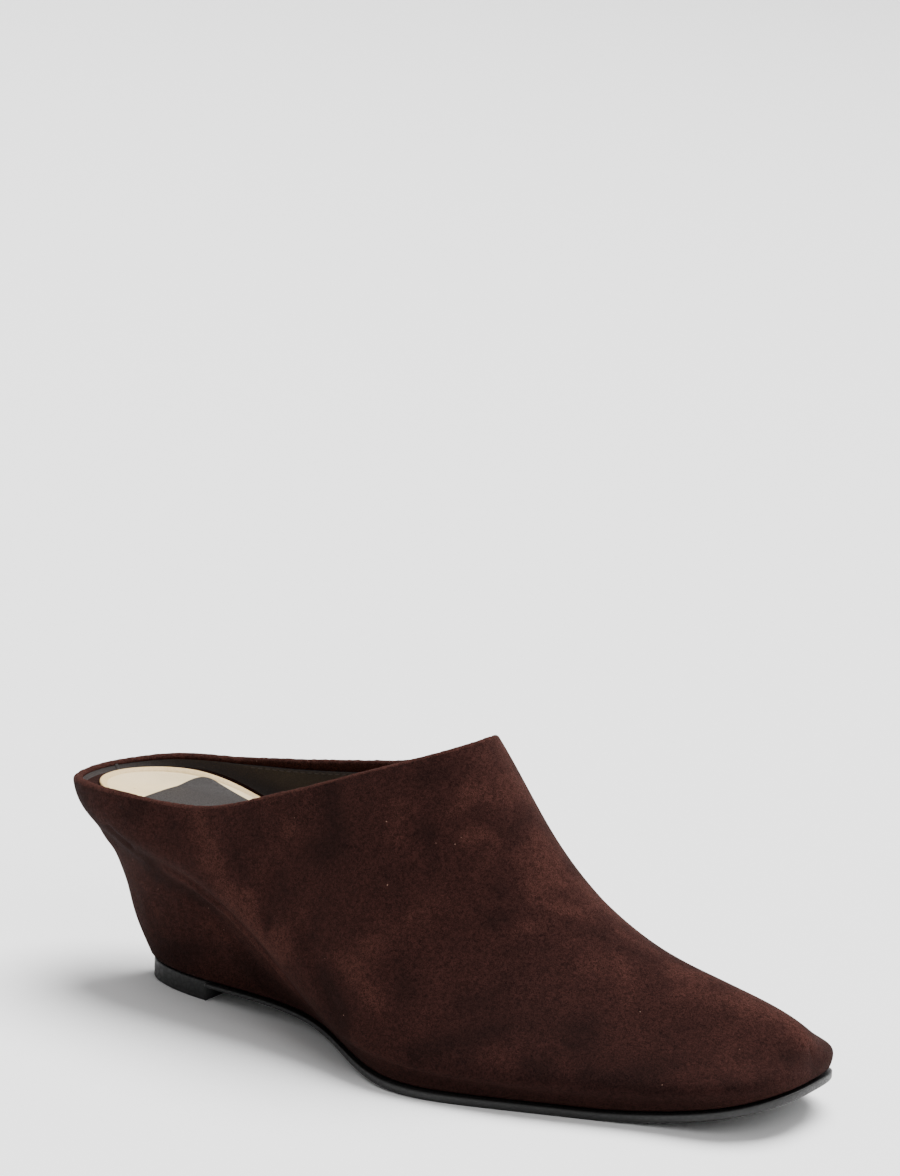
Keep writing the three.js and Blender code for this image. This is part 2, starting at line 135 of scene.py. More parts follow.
# The centre line's swing as a share of the ball width, and heights as shares of the instep height
HEIGHTS = columns(
    "along swing waist ridge side crown",
    (0.0, -0.045, -0.030, -0.067, 0.221, 0.600),
    (0.1, -0.040, -0.020, -0.043, 0.228, 0.740),
    (0.22, -0.030, -0.020, -0.002, 0.288, 0.945),
    (0.33, -0.035, -0.020, -0.023, 0.368, 1.080),
    (0.42, -0.052, -0.015, -0.020, 0.434, 1.080),
    (0.51, -0.060, 0.020, 0.051, 0.512, 1.075),
    (0.62, -0.048, 0.046, 0.116, 0.453, 0.776),
    (0.74, -0.025, 0.056, 0.130, 0.340, 0.495),
    (0.86, -0.010, 0.049, 0.109, 0.246, 0.368),
    (1.0, -0.010, 0.036, 0.076, 0.125, 0.190),
)

# Each level's stand back from the heel and the toe, and its share of the wedge's rise
LEVEL_NAMES = ("base", "waist", "ridge", "side", "crown")
HEEL_BACK = np.array([0.035, 0.37, 0.636, 1.0, 0.465]) * COLLAR_OVERHANG
TOE_BACK = np.array([0.11, 0.08, 0.09, 0.13, 0.18]) * TOE_ROUND
WEDGE_SHARE = np.array([0, 0.5, 1, 1, 1])
CROWN = 4
LAST_LEVEL = 8

# The collar's height over the wedge line as shares of the throat's, on the outer and inner side
COLLAR = columns(
    "along outer inner",
    (0.0, 0.090, 0.090),
    (0.1, 0.155, 0.134),
    (0.25, 0.207, 0.163),
    (0.5, 0.330, 0.354),
    (0.75, 0.672, 0.628),
    (1.0, 1.0, 1.0),
)

# How far the soft edge stands over the solid's collar, or falls below it, in millimetres
EDGE_RISE = columns(
    "along outer inner",
    (0.0, 0.4, 0.4),
    (0.05, -0.4, -0.1),
    (0.13, -1.9, 0.0),
    (0.22, -1.9, 0.5),
    (0.3, -1.4, 1.0),
    (0.4, -0.3, 0.4),
    (0.5, 0.9, -0.5),
    (0.6, 1.5, -0.8),
    (0.68, 0.6, -0.8),
    (0.76, 0.0, 0.3),
    (0.86, 0.0, 0.4),
    (1.0, 0.0, -0.2),
)

# How far the suede turns down inside the collar, from the back to the throat, in millimetres
TURN = columns(
    "along depth",
    (0.0, 1.0),
    (0.15, 1.2),
    (0.32, 2.6),
    (0.5, 3.6),
    (1.0, 3.9),
)

# Soft folds of the suede: height and half width in millimetres, the tone along each, which is painted
# light on ridges and painted shade in hollows, and its path over the last in millimetres
FOLDS = [
    # the bulge's edge over the wedge, with a painted highlight along it and painted shade in the hollow
    # below
    (0.9, 1.7, 0.45, (12, -29, 41), (20, -28, 39), (28, -29, 37), (35, -28, 34), (42, -29, 31),
     (49, -29, 26), (56, -30, 21), (63, -30, 16), (69, -31, 11), (76, -33, 6)),
    (-0.7, 3.6, -0.35, (18, -26, 34), (27, -26, 31), (35, -25, 27), (43, -25, 20), (50, -24, 13),
     (57, -24, 8)),
    # the dent above the heel, with painted shade in it
    (-0.7, 2.0, -0.6, (-4, -29, 49), (0, -29, 47), (4, -29, 45), (8, -28, 43)),
    (0.45, 2.2, 0, (-3, -27, 44), (2, -27, 42), (8, -27, 40), (14, -27, 39)),
    # the full back of the heel
    (0.4, 5.0, 0, (-28, -8, 52), (-23, -17, 51), (-16, -23, 50), (-9, -27, 49), (-2, -29, 47)),
    (0.8, 4.0, 0, (-20, -4, 41), (-15, -11, 41), (-10, -19, 41), (-5, -23, 42)),
    (-0.8, 7.0, 0, (-12, 0, 27), (-9, -11, 26), (-3, -18, 24), (4, -21, 22)),
    # the pulls between the bulge and the ball, with painted shade in their hollows
    (-0.5, 3.4, -0.3, (65, -37, 53), (62, -38, 48), (61, -40, 38), (62, -40, 31)),
    (-0.6, 3.2, -0.3, (72, -40, 42), (75, -41, 37), (80, -43, 29), (85, -45, 22), (91, -47, 17),
     (95, -49, 12)),
    (0.5, 3.2, 0, (90, -44, 33), (94, -45, 29), (99, -47, 25), (103, -48, 21), (108, -49, 17)),
]

# Halvings of a search, and the step along the shoe that a curve's direction is taken over
HALVINGS = 40
EDGE_STEP = 1e-4


def bend_operator(knots):
    """Turns values at the knots into a natural cubic spline's second derivatives: none at the two
    ends, and between them the balance of each knot's slopes before and after it."""
    knots = np.asarray(knots, float)
    gap = np.diff(knots)
    inner = np.arange(1, len(knots) - 1)
    balance = np.eye(len(knots))
    slopes = np.zeros_like(balance)
    balance[inner, inner - 1] = gap[:-1]
    balance[inner, inner] = 2 * (gap[:-1] + gap[1:])
    balance[inner, inner + 1] = gap[1:]
    slopes[inner, inner - 1] = 6 / gap[:-1]
    slopes[inner, inner + 1] = 6 / gap[1:]
    slopes[inner, inner] = -6 / gap[:-1] - 6 / gap[1:]
    return np.linalg.solve(balance, slopes)


def spline(knots, values, at):
    """Natural cubic spline: in each span the straight blend of its two ends, plus their second
    derivatives times left cubed less left and right cubed less right, times the span squared over 6."""
    at = np.asarray(at, float)
    bends = bend_operator(knots) @ values
    i = np.clip(np.searchsorted(knots, at, side="right") - 1, 0, len(knots) - 2)
    span = knots[i + 1] - knots[i]
    right = (at - knots[i]) / span
    left = 1 - right
    cubic = (left**3 - left) * bends[i] + (right**3 - right) * bends[i + 1]
    return left * values[i] + right * values[i + 1] + cubic * span**2 / 6


def column(table, name, at):
    """One named column of a table as a spline over its first column."""
    return spline(table["along"], table[name], at)


def smoothstep(x, low, high):
    """0 below low, 1 above high, and 3u squared less 2u cubed between them."""
    u = np.clip((x - low) / (high - low), 0, 1)
    return u * u * (3 - 2 * u)


def tread(x):
    """The sole's underside: high at the breast, flat under the ball, a parabola up to the toe."""
    flat_start = FLAT_START_SHARE * SOLE_LENGTH
    flat_end = FLAT_END_SHARE * SOLE_LENGTH
    back = smoothstep(flat_start - x, 0, flat_start - LIFT_LENGTH)
    front = np.maximum(0, (x - flat_end) / (SOLE_LENGTH - flat_end))
    return (LIFT_THICKNESS - SOLE_THICKNESS) * back + TOE_SPRING * front**2


def upper_foot(x):
    """Height of the upper's foot over the floor."""
    return tread(x) + SOLE_THICKNESS + FIT_GAP


def wedge_line(x):
    """Height of the line that carries the insole: the upper's foot plus the wedge's rise."""
    along = np.asarray(x, float) / SOLE_LENGTH
    rise = np.maximum(0, column(WEDGE_LINE, "rise", along))
    return upper_foot(x) + np.where(along < WEDGE_LINE["along"][-1], rise, 0) * RISE


def footbed(x):
    """Height of the insole's top."""
    return wedge_line(x) + INSOLE_THICKNESS


def round_end(distance, length, exponent):
    """A superellipse end: 0 at the tip and 1 where the straight part starts."""
    inside = 1 - np.clip(distance / length, 0, 1)
    return (1 - inside**exponent) ** (1 / exponent)


def level_x(index, along):
    """x of a level at a share along the shoe: straight from its heel end to its toe end."""
    back = -HEEL_BACK[index]
    return back + (SOLE_LENGTH - TOE_BACK[index] - back) * along


def level_points(along):
    """The nine points of each section, base to crown on the outer side and down the inner side."""
    along = np.asarray(along, float)
    toe_end = round_end((1 - along) * SOLE_LENGTH, TOE_ROUND, TOE_EXPONENT)
    ends = round_end(along * SOLE_LENGTH, HEEL_ROUND, HEEL_EXPONENT) * toe_end
    toe_top = 1 - TOE_DROP_SHARE * (1 - toe_end)
    centre = column(HEIGHTS, "swing", along) * BALL_WIDTH
    foot = upper_foot(level_x(0, along))
    ridge_x = level_x(2, along)
    wedge = wedge_line(ridge_x) - upper_foot(ridge_x)
    points = np.zeros((len(along), LAST_LEVEL + 1, 3))
    for index, name in enumerate(LEVEL_NAMES):
        z = foot + WEDGE_SHARE[index] * wedge
        if index > 0:
            z = z + column(HEIGHTS, name, along) * INSTEP_HEIGHT * toe_top
        for place, side, table in ((index, -1, OUTER_WIDTHS), (LAST_LEVEL - index, 1, INNER_WIDTHS)):
            half = 0 if index == CROWN else column(table, name, along) * BALL_WIDTH * ends
            points[:, place] = np.stack([level_x(index, along), centre + side * half, z], 1)
    return points


LEVEL_BENDS = bend_operator(np.arange(LAST_LEVEL + 1))


def last_point(along, level):
    """Points of the last: a natural spline across the nine points of the section at each along."""
    along, level = np.broadcast_arrays(np.asarray(along, float), np.asarray(level, float))
    points = level_points(along.ravel())
    bends = np.einsum("kj,njc->nkc", LEVEL_BENDS, points)
    at = level.ravel()
    i = np.clip(at.astype(int), 0, LAST_LEVEL - 1)
    row = np.arange(len(i))
    right = (at - i)[:, None]
    left = 1 - right
    cubic = (left**3 - left) * bends[row, i] + (right**3 - right) * bends[row, i + 1]
    found = left * points[row, i] + right * points[row, i + 1] + cubic / 6
    return found.reshape(along.shape + (3,))


def crossing(rising, low, high):
    """Where a rising function of arrays passes zero between low and high, by halving."""
    for _ in range(HALVINGS):
        middle = (low + high) / 2
        below = rising(middle) < 0
        low = np.where(below, middle, low)
        high = np.where(below, high, middle)
    return (low + high) / 2


def on_side(side, level):
    """A level counted up from the foot, on the outer side if side is 0 and on the inner side if 1."""
    return level if side == 0 else LAST_LEVEL - level


# The throat's point and its height over the wedge line, and where the share along the collar ends
THROAT_POINT = last_point(THROAT_SHARE, CROWN)
THROAT_RISE = THROAT_POINT[2] - wedge_line(THROAT_POINT[0])
PAST_THROAT = 1.05


def collar_along(x):
    """Share of the way from the collar's back to the throat, and a little past it."""
    share = (x + COLLAR_OVERHANG) / (THROAT_POINT[0] + COLLAR_OVERHANG)
    return np.clip(share, 0, PAST_THROAT)


def collar_height(x, y):
    """Height of the collar's edge: each side's own curve, blended across the middle of the shoe."""
    along = collar_along(x)
    blend = smoothstep(y, -COLLAR_BLEND, COLLAR_BLEND)
    outer, inner = (
        THROAT_RISE * column(COLLAR, side, along) + column(EDGE_RISE, side, np.minimum(along, 1))
        for side in ("outer", "inner")
    )
    return wedge_line(x) + outer + (inner - outer) * blend


def even_steps(points, count):
    """Positions of count + 1 places spread evenly by length over a dense line of points."""
    length = np.concatenate([[0], np.cumsum(np.linalg.norm(np.diff(points, axis=0), axis=1))])
    return np.interp(np.linspace(0, length[-1], count + 1), length, np.arange(len(points)))


def pick(values, place):
    """Values of a dense line at fractional positions."""
    return np.interp(place, np.arange(len(values)), values)


# The fan of rays that finds the collar: its centre as share along the shoe and level, how many times
# longer a step along the shoe is than one level, its rays, and where its two ends are looked for
FAN_CENTRE = (0.72, 0.6)
FAN_SHAPE = 8
FAN_RAYS = 1600
BACK_LEVELS = (1.5, 4.0)
THROAT_SHARES = (0.5, 0.7)


def collar_edge(side, count, drop):
    """One side's collar edge from the back to the throat as count + 1 (along, level) pairs. Rays fan
    out from a point of the vamp, and on each the edge is where the surface reaches the collar's
    height less drop, a function of the share along the collar."""

    def over(along, level):
        point = last_point(along, on_side(side, level))
        x, y, z = np.moveaxis(point, -1, 0)
        return z - collar_height(x, y) + drop(collar_along(x))

    back_level = crossing(lambda level: over(0 * level, level), *np.array(BACK_LEVELS)[:, None])[0]
    throat = crossing(lambda along: -over(along, CROWN + 0 * along), *np.array(THROAT_SHARES)[:, None])[0]
    start = math.atan2(back_level - FAN_CENTRE[1], -FAN_CENTRE[0] * FAN_SHAPE)
    end = math.atan2(CROWN - FAN_CENTRE[1], (throat - FAN_CENTRE[0]) * FAN_SHAPE)
    turn = np.linspace(start, end, FAN_RAYS)
    step_along = np.cos(turn) / FAN_SHAPE
    step_level = np.sin(turn)
    reach = np.minimum(-FAN_CENTRE[0] / step_along, (CROWN - FAN_CENTRE[1]) / step_level)
    found = crossing(
        lambda r: over(FAN_CENTRE[0] + r * step_along, FAN_CENTRE[1] + r * step_level),
        0 * reach,
        reach,
    )
    along = np.maximum(0, FAN_CENTRE[0] + found * step_along)
    level = np.minimum(CROWN, FAN_CENTRE[1] + found * step_level)
    place = even_steps(last_point(along, on_side(side, level)), count)
    return pick(along, place), pick(level, place)


def level_steps(side, level, start, end, count):
    """Shares along the shoe that step evenly by length along one level, from start to end."""
    turn = np.linspace(0, math.pi, FAN_RAYS)
    along = start + (end - start) * (1 - np.cos(turn)) / 2
    place = even_steps(last_point(along, on_side(side, level)), count)
    return pick(along, place)


# Columns of the wall from the back of the heel to the toe on each side, those that end at the collar,
# and the level whose length spaces them
WALL_COLUMNS = 300
COLLAR_COLUMNS = 162
SPACING_LEVEL = 2


class Wall:
    """The last's surface between its foot and the collar, as a closed band of columns: from the back
    over the outer side to the toe, and back over the inner side. Past the throat the two sides meet
    at the crown. A place on a column is a share from 0 at the foot to 1 at its top."""

    def __init__(self, drop):
        self.foot = []
        self.top = []
        self.level = []
        for side in (0, 1):
            edge_along, edge_level = collar_edge(side, COLLAR_COLUMNS, drop)
            ahead = level_steps(side, SPACING_LEVEL, edge_along[-1], 1, WALL_COLUMNS - COLLAR_COLUMNS)
            self.top.append(np.concatenate([edge_along, ahead[1:]]))
            self.level.append(np.concatenate([edge_level, np.full(len(ahead) - 1, float(CROWN))]))
            self.foot.append(level_steps(side, SPACING_LEVEL, 0, 1, WALL_COLUMNS))
        ahead = (self.top[0] + self.top[1]) / 2
        for side in (0, 1):
            self.top[side][COLLAR_COLUMNS:] = ahead[COLLAR_COLUMNS:]

    def band(self, name):
        """A boundary's values round the whole band."""
        outer, inner = getattr(self, name)
        return np.concatenate([outer, inner[-2:0:-1]])

    def points(self, share):
        """Points at shares of shape (columns, rows): along and level run straight from the foot to
        the top of each column."""
        foot = self.band("foot")[:, None]
        top = self.band("top")[:, None]
        level = self.band("level")[:, None] * share
        inner = np.arange(len(foot))[:, None] > WALL_COLUMNS
        return last_point(foot + (top - foot) * share, np.where(inner, LAST_LEVEL - level, level))


def number(shape, first=0):
    """Vertex numbers of a grid of that shape, counted on from the first."""
    return first + np.arange(math.prod(shape)).reshape(shape)


def band_index(rows, first=0):
    """Vertex numbers of a band of columns, with the tops of each pair past the throat shared."""
    count = 2 * WALL_COLUMNS
    index = number((count, rows), first)
    outer = np.arange(COLLAR_COLUMNS, WALL_COLUMNS)
    index[count - outer, -1] = index[outer, -1]
    return index


def collar_loop():
    """Column numbers of the collar, once round from the back over the outer side."""
    inner = np.arange(2 * WALL_COLUMNS - COLLAR_COLUMNS + 1, 2 * WALL_COLUMNS)
    return np.concatenate([np.arange(COLLAR_COLUMNS + 1), inner])


def strip_faces(index, closed=True):
    """Quads between neighbouring columns of a grid of vertex numbers, facing the side from which its
    columns run to the right and its rows up."""
    after = np.roll(index, -1, axis=0) if closed else index[1:]
    before = index if closed else index[:-1]
    faces = np.stack([before[:, :-1], after[:, :-1], after[:, 1:], before[:, 1:]], -1)
    return faces.reshape(-1, 4)


def face_normals(points, faces):
    """Twice the area of each quad times its normal: the cross product of its diagonals."""
    a, b, c, d = (points[faces[:, k]] for k in range(4))
    return np.cross(c - a, d - b)


def vertex_normals(points, faces):
    """Normals at the vertices, as the mean of their faces weighted by area."""
    normals = np.zeros_like(points)
    weights = face_normals(points, faces)
    for k in range(4):
        np.add.at(normals, faces[:, k], weights)
    return normals / np.maximum(np.linalg.norm(normals, axis=1, keepdims=True), 1e-12)


# Share of a fold's length over which each of its ends fades
FADE_SHARE = 0.25


def path_weight(points, path, width, faded=True):
    """A soft stroke along a path: a bell curve of the distance to it, faded at its two ends or round."""
    path = np.asarray(path, float)
    steps = np.diff(path, axis=0)
    lengths = np.linalg.norm(steps, axis=1)
    travelled = np.concatenate([[0], np.cumsum(lengths)])
    nearest = np.full(len(points), np.inf)
    share = np.zeros(len(points))
    for i, step in enumerate(steps):
        along = np.clip((points - path[i]) @ step / lengths[i] ** 2, 0, 1)
        distance = np.linalg.norm(points - path[i] - along[:, None] * step, axis=1)
        closer = distance < nearest
        nearest = np.where(closer, distance, nearest)
        share = np.where(closer, (travelled[i] + along * lengths[i]) / travelled[-1], share)
    fade = smoothstep(share, 0, FADE_SHARE) * smoothstep(1 - share, 0, FADE_SHARE) if faded else 1
    return np.exp(-((nearest / width) ** 2)) * fade


def fold_height(points):
    """How far the suede stands out from the last: the sum of all folds' strokes."""
    scale = bpy.context.scene.mule_suede.fold_scale
    total = np.zeros(len(points))
    for height, width, _, *path in FOLDS:
        total += scale * height * path_weight(points, path, width)
    return total


def make_mesh(name, points, faces, material):
    """A smooth mesh object in the frame from millimetre points in the last's frame, and the numbers of
    the points it uses: vertices that no face uses are left out."""
    points = np.asarray(points, float)
    polygons = [np.asarray(block, int) for block in faces]
    used = np.unique(np.concatenate([block.ravel() for block in polygons]))
    renumber = np.full(len(points), -1)
    renumber[used] = np.arange(len(used))
    mesh = bpy.data.meshes.new(name)
    corners = [renumber[block] for block in polygons]
    sizes = np.concatenate([np.full(len(block), block.shape[1]) for block in corners])
    mesh.vertices.add(len(used))
    mesh.vertices.foreach_set("co", ((points[used] + LAST_ORIGIN) * MM).astype(np.float32).ravel())
    mesh.loops.add(int(sizes.sum()))
    mesh.loops.foreach_set("vertex_index", np.concatenate([c.ravel() for c in corners]).astype(np.int32))
    mesh.polygons.add(len(sizes))
    starts = np.concatenate([[0], np.cumsum(sizes)[:-1]]).astype(np.int32)
    mesh.polygons.foreach_set("loop_start", starts)
    mesh.materials.append(material)
    mesh.update(calc_edges=True)
    mesh.validate()
    mesh.shade_smooth()
    made = bpy.data.objects.new(name, mesh)
    bpy.context.scene.collection.objects.link(made)
    return made, used


def add_attribute(made, name, values):
    """A number at each vertex for the materials to read."""
    attribute = made.data.attributes.new(name, "FLOAT", "POINT")
    attribute.data.foreach_set("value", np.asarray(values, np.float32))


def feed(tree, socket, value):
    """Gives an input a value, or a link from an output."""
    if isinstance(value, bpy.types.NodeSocket):
        tree.links.new(value, socket)
    else:
        socket.default_value = value


def put(tree, kind, inputs=None, **settings):
    """Adds a node, sets its properties, and gives its inputs values or links."""
    made = tree.nodes.new(kind)
    for name, value in settings.items():
        setattr(made, name, value)
    for name, value in (inputs or {}).items():
        feed(tree, made.inputs[name], value)
    return made


# Places of the factor and the two colours among a mix node's inputs, and of the mixed colour
MIX_INPUTS = (0, 6, 7)
MIX_RESULT = 2


def mix_colors(tree, factor, first, second):
    """A colour between two others, and its output."""
    made = put(tree, "ShaderNodeMix", data_type="RGBA", clamp_factor=True)
    for place, value in zip(MIX_INPUTS, (factor, first, second)):
        feed(tree, made.inputs[place], value)
    return made.outputs[MIX_RESULT]


def calculate(tree, operation, *values, clamp=False):
    """One step of arithmetic, and its output."""
    made = put(tree, "ShaderNodeMath", operation=operation, use_clamp=clamp)
    for place, value in enumerate(values):
        feed(tree, made.inputs[place], value)
    return made.outputs[0]


def weigh(tree, first, second, share):
    """Two values added up, the first with a share and the second with the rest, and its output."""
    rest = calculate(tree, "MULTIPLY", second, 1 - share)
    return calculate(tree, "MULTIPLY_ADD", first, share, rest)


def spread(tree, value, low, high, to_low=0.0, to_high=1.0):
    """A value stretched smoothly from one range to another, and its output."""
    ranged = put(
        tree,
        "ShaderNodeMapRange",
        {"Value": value, "From Min": low, "From Max": high, "To Min": to_low, "To Max": to_high},
        interpolation_type="SMOOTHSTEP",
    )
    return ranged.outputs["Result"]


def new_group(name, inputs, outputs):
    """A shader node group with named float sockets and a vector input: its tree, ends and inputs."""
    tree = bpy.data.node_groups.new(name, "ShaderNodeTree")
    tree.interface.new_socket("Vector", in_out="INPUT", socket_type="NodeSocketVector")
    for label, value in inputs.items():
        socket = tree.interface.new_socket(label, in_out="INPUT", socket_type="NodeSocketFloat")
        socket.default_value = value
    for label in outputs:
        tree.interface.new_socket(label, in_out="OUTPUT", socket_type="NodeSocketFloat")
    return tree, tree.nodes.new("NodeGroupInput").outputs, tree.nodes.new("NodeGroupOutput").inputs


def noise(tree, vector, scale, detail=2.0, roughness=0.5, distortion=0.0):
    """A noise texture's value."""
    made = put(
        tree,
        "ShaderNodeTexNoise",
        {
            "Vector": vector,
            "Scale": scale,
            "Detail": detail,
            "Roughness": roughness,
            "Distortion": distortion,
        },
    )
    return made.outputs["Fac"]


def blotch_group():
    """Soft cloudy patches of brushed nap: a broad warped noise and a finer one, added."""
    tree, given, result = new_group("Brushed patches", {"Scale": 60.0, "Contrast": 1.0}, ["Mask"])
    broad = noise(tree, given["Vector"], given["Scale"], detail=2.5, distortion=0.9)
    finer_scale = calculate(tree, "MULTIPLY", given["Scale"], 3.1)
    finer = noise(tree, given["Vector"], finer_scale, distortion=0.6)
    centred = calculate(tree, "SUBTRACT", weigh(tree, broad, finer, 0.7), 0.5)
    gain = calculate(tree, "MULTIPLY", given["Contrast"], 3.2)
    raised = calculate(tree, "MULTIPLY_ADD", centred, gain, 0.5, clamp=True)
    tree.links.new(raised, result["Mask"])
    return tree


def nap_group():
    """Short curly fibres: noise read at warped places, in two sizes."""
    tree, given, result = new_group("Nap fibres", {"Scale": 1400.0}, ["Height"])
    fine = noise(tree, given["Vector"], given["Scale"], roughness=0.6, distortion=2.2)
    clump_scale = calculate(tree, "MULTIPLY", given["Scale"], 0.42)
    clumps = noise(tree, given["Vector"], clump_scale, distortion=1.4)
    tree.links.new(weigh(tree, fine, clumps, 0.72), result["Height"])
    return tree


def fleck_group():
    """Sparse specks of lint: the hearts of a few cells picked by their own random number. The places
    that are read are drawn a little way towards a noise's colour, which frays the specks."""
    tree, given, result = new_group("Lint flecks", {"Scale": 260.0, "Size": 0.07, "Share": 0.1}, ["Mask"])
    warp = put(tree, "ShaderNodeTexNoise", {"Vector": given["Vector"], "Scale": 900.0})
    shifted = put(tree, "ShaderNodeMix", {"Factor": 0.0009}, data_type="VECTOR")
    tree.links.new(given["Vector"], shifted.inputs[4])
    tree.links.new(warp.outputs["Color"], shifted.inputs[5])
    cells = put(tree, "ShaderNodeTexVoronoi", {"Vector": shifted.outputs[1], "Scale": given["Scale"]})
    heart = calculate(tree, "LESS_THAN", cells.outputs["Distance"], given["Size"])
    parts = put(tree, "ShaderNodeSeparateColor", {"Color": cells.outputs["Color"]})
    chosen = calculate(tree, "LESS_THAN", parts.outputs["Red"], given["Share"])
    tree.links.new(calculate(tree, "MULTIPLY", heart, chosen), result["Mask"])
    return tree


def grain_group():
    """Leather grain: rounded cells with creases between them, roughened by fine noise."""
    tree, given, result = new_group("Leather grain", {"Scale": 900.0}, ["Height"])
    cells = put(
        tree,
        "ShaderNodeTexVoronoi",
        {"Vector": given["Vector"], "Scale": given["Scale"]},
        feature="DISTANCE_TO_EDGE",
    )
    plates = spread(tree, cells.outputs["Distance"], 0.0, 0.22)
    fine_scale = calculate(tree, "MULTIPLY", given["Scale"], 2.5)
    fine = noise(tree, given["Vector"], fine_scale, distortion=0.3)
    tree.links.new(weigh(tree, plates, fine, 0.7), result["Height"])
    return tree


GROUP_MAKERS = {
    "Brushed patches": blotch_group,
    "Nap fibres": nap_group,
    "Lint flecks": fleck_group,
    "Leather grain": grain_group,
}


def use_group(tree, name, vector, **values):
    """Places a shared node group in a material with its own values."""
    made = tree.nodes.new("ShaderNodeGroup")
    made.node_tree = bpy.data.node_groups.get(name) or GROUP_MAKERS[name]()
    tree.links.new(vector, made.inputs["Vector"])
    for label, value in values.items():
        made.inputs[label].default_value = value
    return made.outputs[0]


def linear(color):
    """A display colour of three 0 to 1 numbers as the linear four that nodes take."""
    c = np.asarray(color[:3], float)
    curve = np.where(c <= 0.04045, c / 12.92, ((c + 0.055) / 1.055) ** 2.4)
    return (*curve.tolist(), 1.0)


def shade(color, factor):
    """A display colour made darker or lighter."""
    return tuple(min(1.0, c * factor) for c in color)


def new_material(name):
    """An empty node material: its data, tree, shader node and object coordinates."""
    material = bpy.data.materials.new(name)
    material.use_nodes = True
    tree = material.node_tree
    shader = tree.nodes["Principled BSDF"]
    place = tree.nodes.new("ShaderNodeTexCoord").outputs["Object"]
    return material, tree, shader, place


def add_bump(tree, shader, height, strength, distance):
    """A bump from a height, into the shader's normal."""
    bump = put(tree, "ShaderNodeBump", {"Height": height, "Strength": strength, "Distance": distance})
    tree.links.new(bump.outputs["Normal"], shader.inputs["Normal"])


def finish(tree, shader, values):
    """Gives the shader's inputs their values or links, by name."""
    for name, value in values.items():
        feed(tree, shader.inputs[name], value)


def suede_material(name, colors, contrast, marked):
    """Brushed suede: cloudy patches between a dark and a light brown, fine fibres, a soft sheen and a
    few flecks. marked reads the nap marks of the mesh, which hold painted light and painted shade as well
    as lighter and darker patches of the nap."""
    material, tree, shader, place = new_material(name)
    mask = use_group(tree, "Brushed patches", place, Scale=48.0, Contrast=contrast)
    if marked:
        # The nap marks hold painted light and painted shade as well as lighter and darker patches of the
        # nap
        marks = put(tree, "ShaderNodeAttribute", attribute_name="nap").outputs["Fac"]
        broken = calculate(tree, "MULTIPLY", marks, spread(tree, mask, 0.2, 0.8, 0.7, 1.3))
        mask = calculate(tree, "ADD", mask, broken, clamp=True)
    fibres = use_group(tree, "Nap fibres", place, Scale=2100.0)
    dark, middle, light = (linear(color) for color in colors)
    # Where the marks are, the dark and light browns are painted shade and painted light as well as the
    # nap's own patches
    lower = mix_colors(tree, spread(tree, mask, 0.0, 0.5), dark, middle)
    cloudy = mix_colors(tree, spread(tree, mask, 0.5, 1.0), lower, light)
    tuft = spread(tree, fibres, 0.4, 0.6, 0.4, 1.65)
    brushed = put(tree, "ShaderNodeVectorMath", {0: cloudy}, operation="SCALE")
    tree.links.new(tuft, brushed.inputs["Scale"])
    flecks = use_group(tree, "Lint flecks", place, Scale=210.0, Size=0.035, Share=0.2)
    colored = mix_colors(tree, flecks, brushed.outputs["Vector"], linear((0.50, 0.38, 0.33)))
    sheen = {"Sheen Weight": 0.06, "Sheen Roughness": 0.5, "Sheen Tint": linear((0.62, 0.40, 0.34))}
    finish(tree, shader, {"Base Color": colored, "Roughness": 0.95, "Specular IOR Level": 0.06, **sheen})
    add_bump(tree, shader, fibres, strength=1.0, distance=0.0006)
    return material


# The pad's border between and on its ribs: shares of the pad's red, green and blue
BORDER_TONES = ((0.9, 0.85, 0.76), (0.99, 0.96, 0.9))


def pad_material(color):
    """The pad's pale leather, with a border that is a little darker, yellower and coarser."""
    material, tree, shader, place = new_material("Pale pad leather")
    border = put(tree, "ShaderNodeAttribute", attribute_name="border").outputs["Fac"]
    mask = use_group(tree, "Brushed patches", place, Scale=80.0, Contrast=0.6)
    grain = use_group(tree, "Leather grain", place, Scale=1200.0)
    ribs = use_group(tree, "Nap fibres", place, Scale=1500.0)
    inside = mix_colors(tree, mask, linear(shade(color, 0.96)), linear(shade(color, 1.03)))
    between, on_rib = (linear(np.multiply(color, yellowed)) for yellowed in BORDER_TONES)
    ribbed = mix_colors(tree, spread(tree, ribs, 0.35, 0.65), between, on_rib)
    toned = mix_colors(tree, border, inside, ribbed)
    gloss = spread(tree, grain, 0.2, 0.9, 0.62, 0.5)
    finish(tree, shader, {"Base Color": toned, "Roughness": gloss, "Specular IOR Level": 0.35})
    mixed = calculate(tree, "MULTIPLY_ADD", ribs, border, calculate(tree, "MULTIPLY", grain, 0.3))
    add_bump(tree, shader, mixed, strength=0.4, distance=0.0002)
    return material


def leather_material(name, color, roughness, grain, bump, patch_contrast=0.35, shine=0.4):
    """Smooth leather: one hue with faint clouds, a fine grain, and gloss that varies with it."""
    material, tree, shader, place = new_material(name)
    mask = use_group(tree, "Brushed patches", place, Scale=90.0, Contrast=patch_contrast)
    height = use_group(tree, "Leather grain", place, Scale=grain)
    clouded = mix_colors(tree, mask, linear(shade(color, 0.93)), linear(shade(color, 1.05)))
    creased = mix_colors(tree, spread(tree, height, 0.2, 0.75), linear(shade(color, 0.9)), clouded)
    gloss = spread(tree, height, 0.2, 0.9, roughness + 0.12, roughness)
    finish(tree, shader, {"Base Color": creased, "Roughness": gloss, "Specular IOR Level": shine})
    add_bump(tree, shader, height, bump, distance=0.0002)
    return material


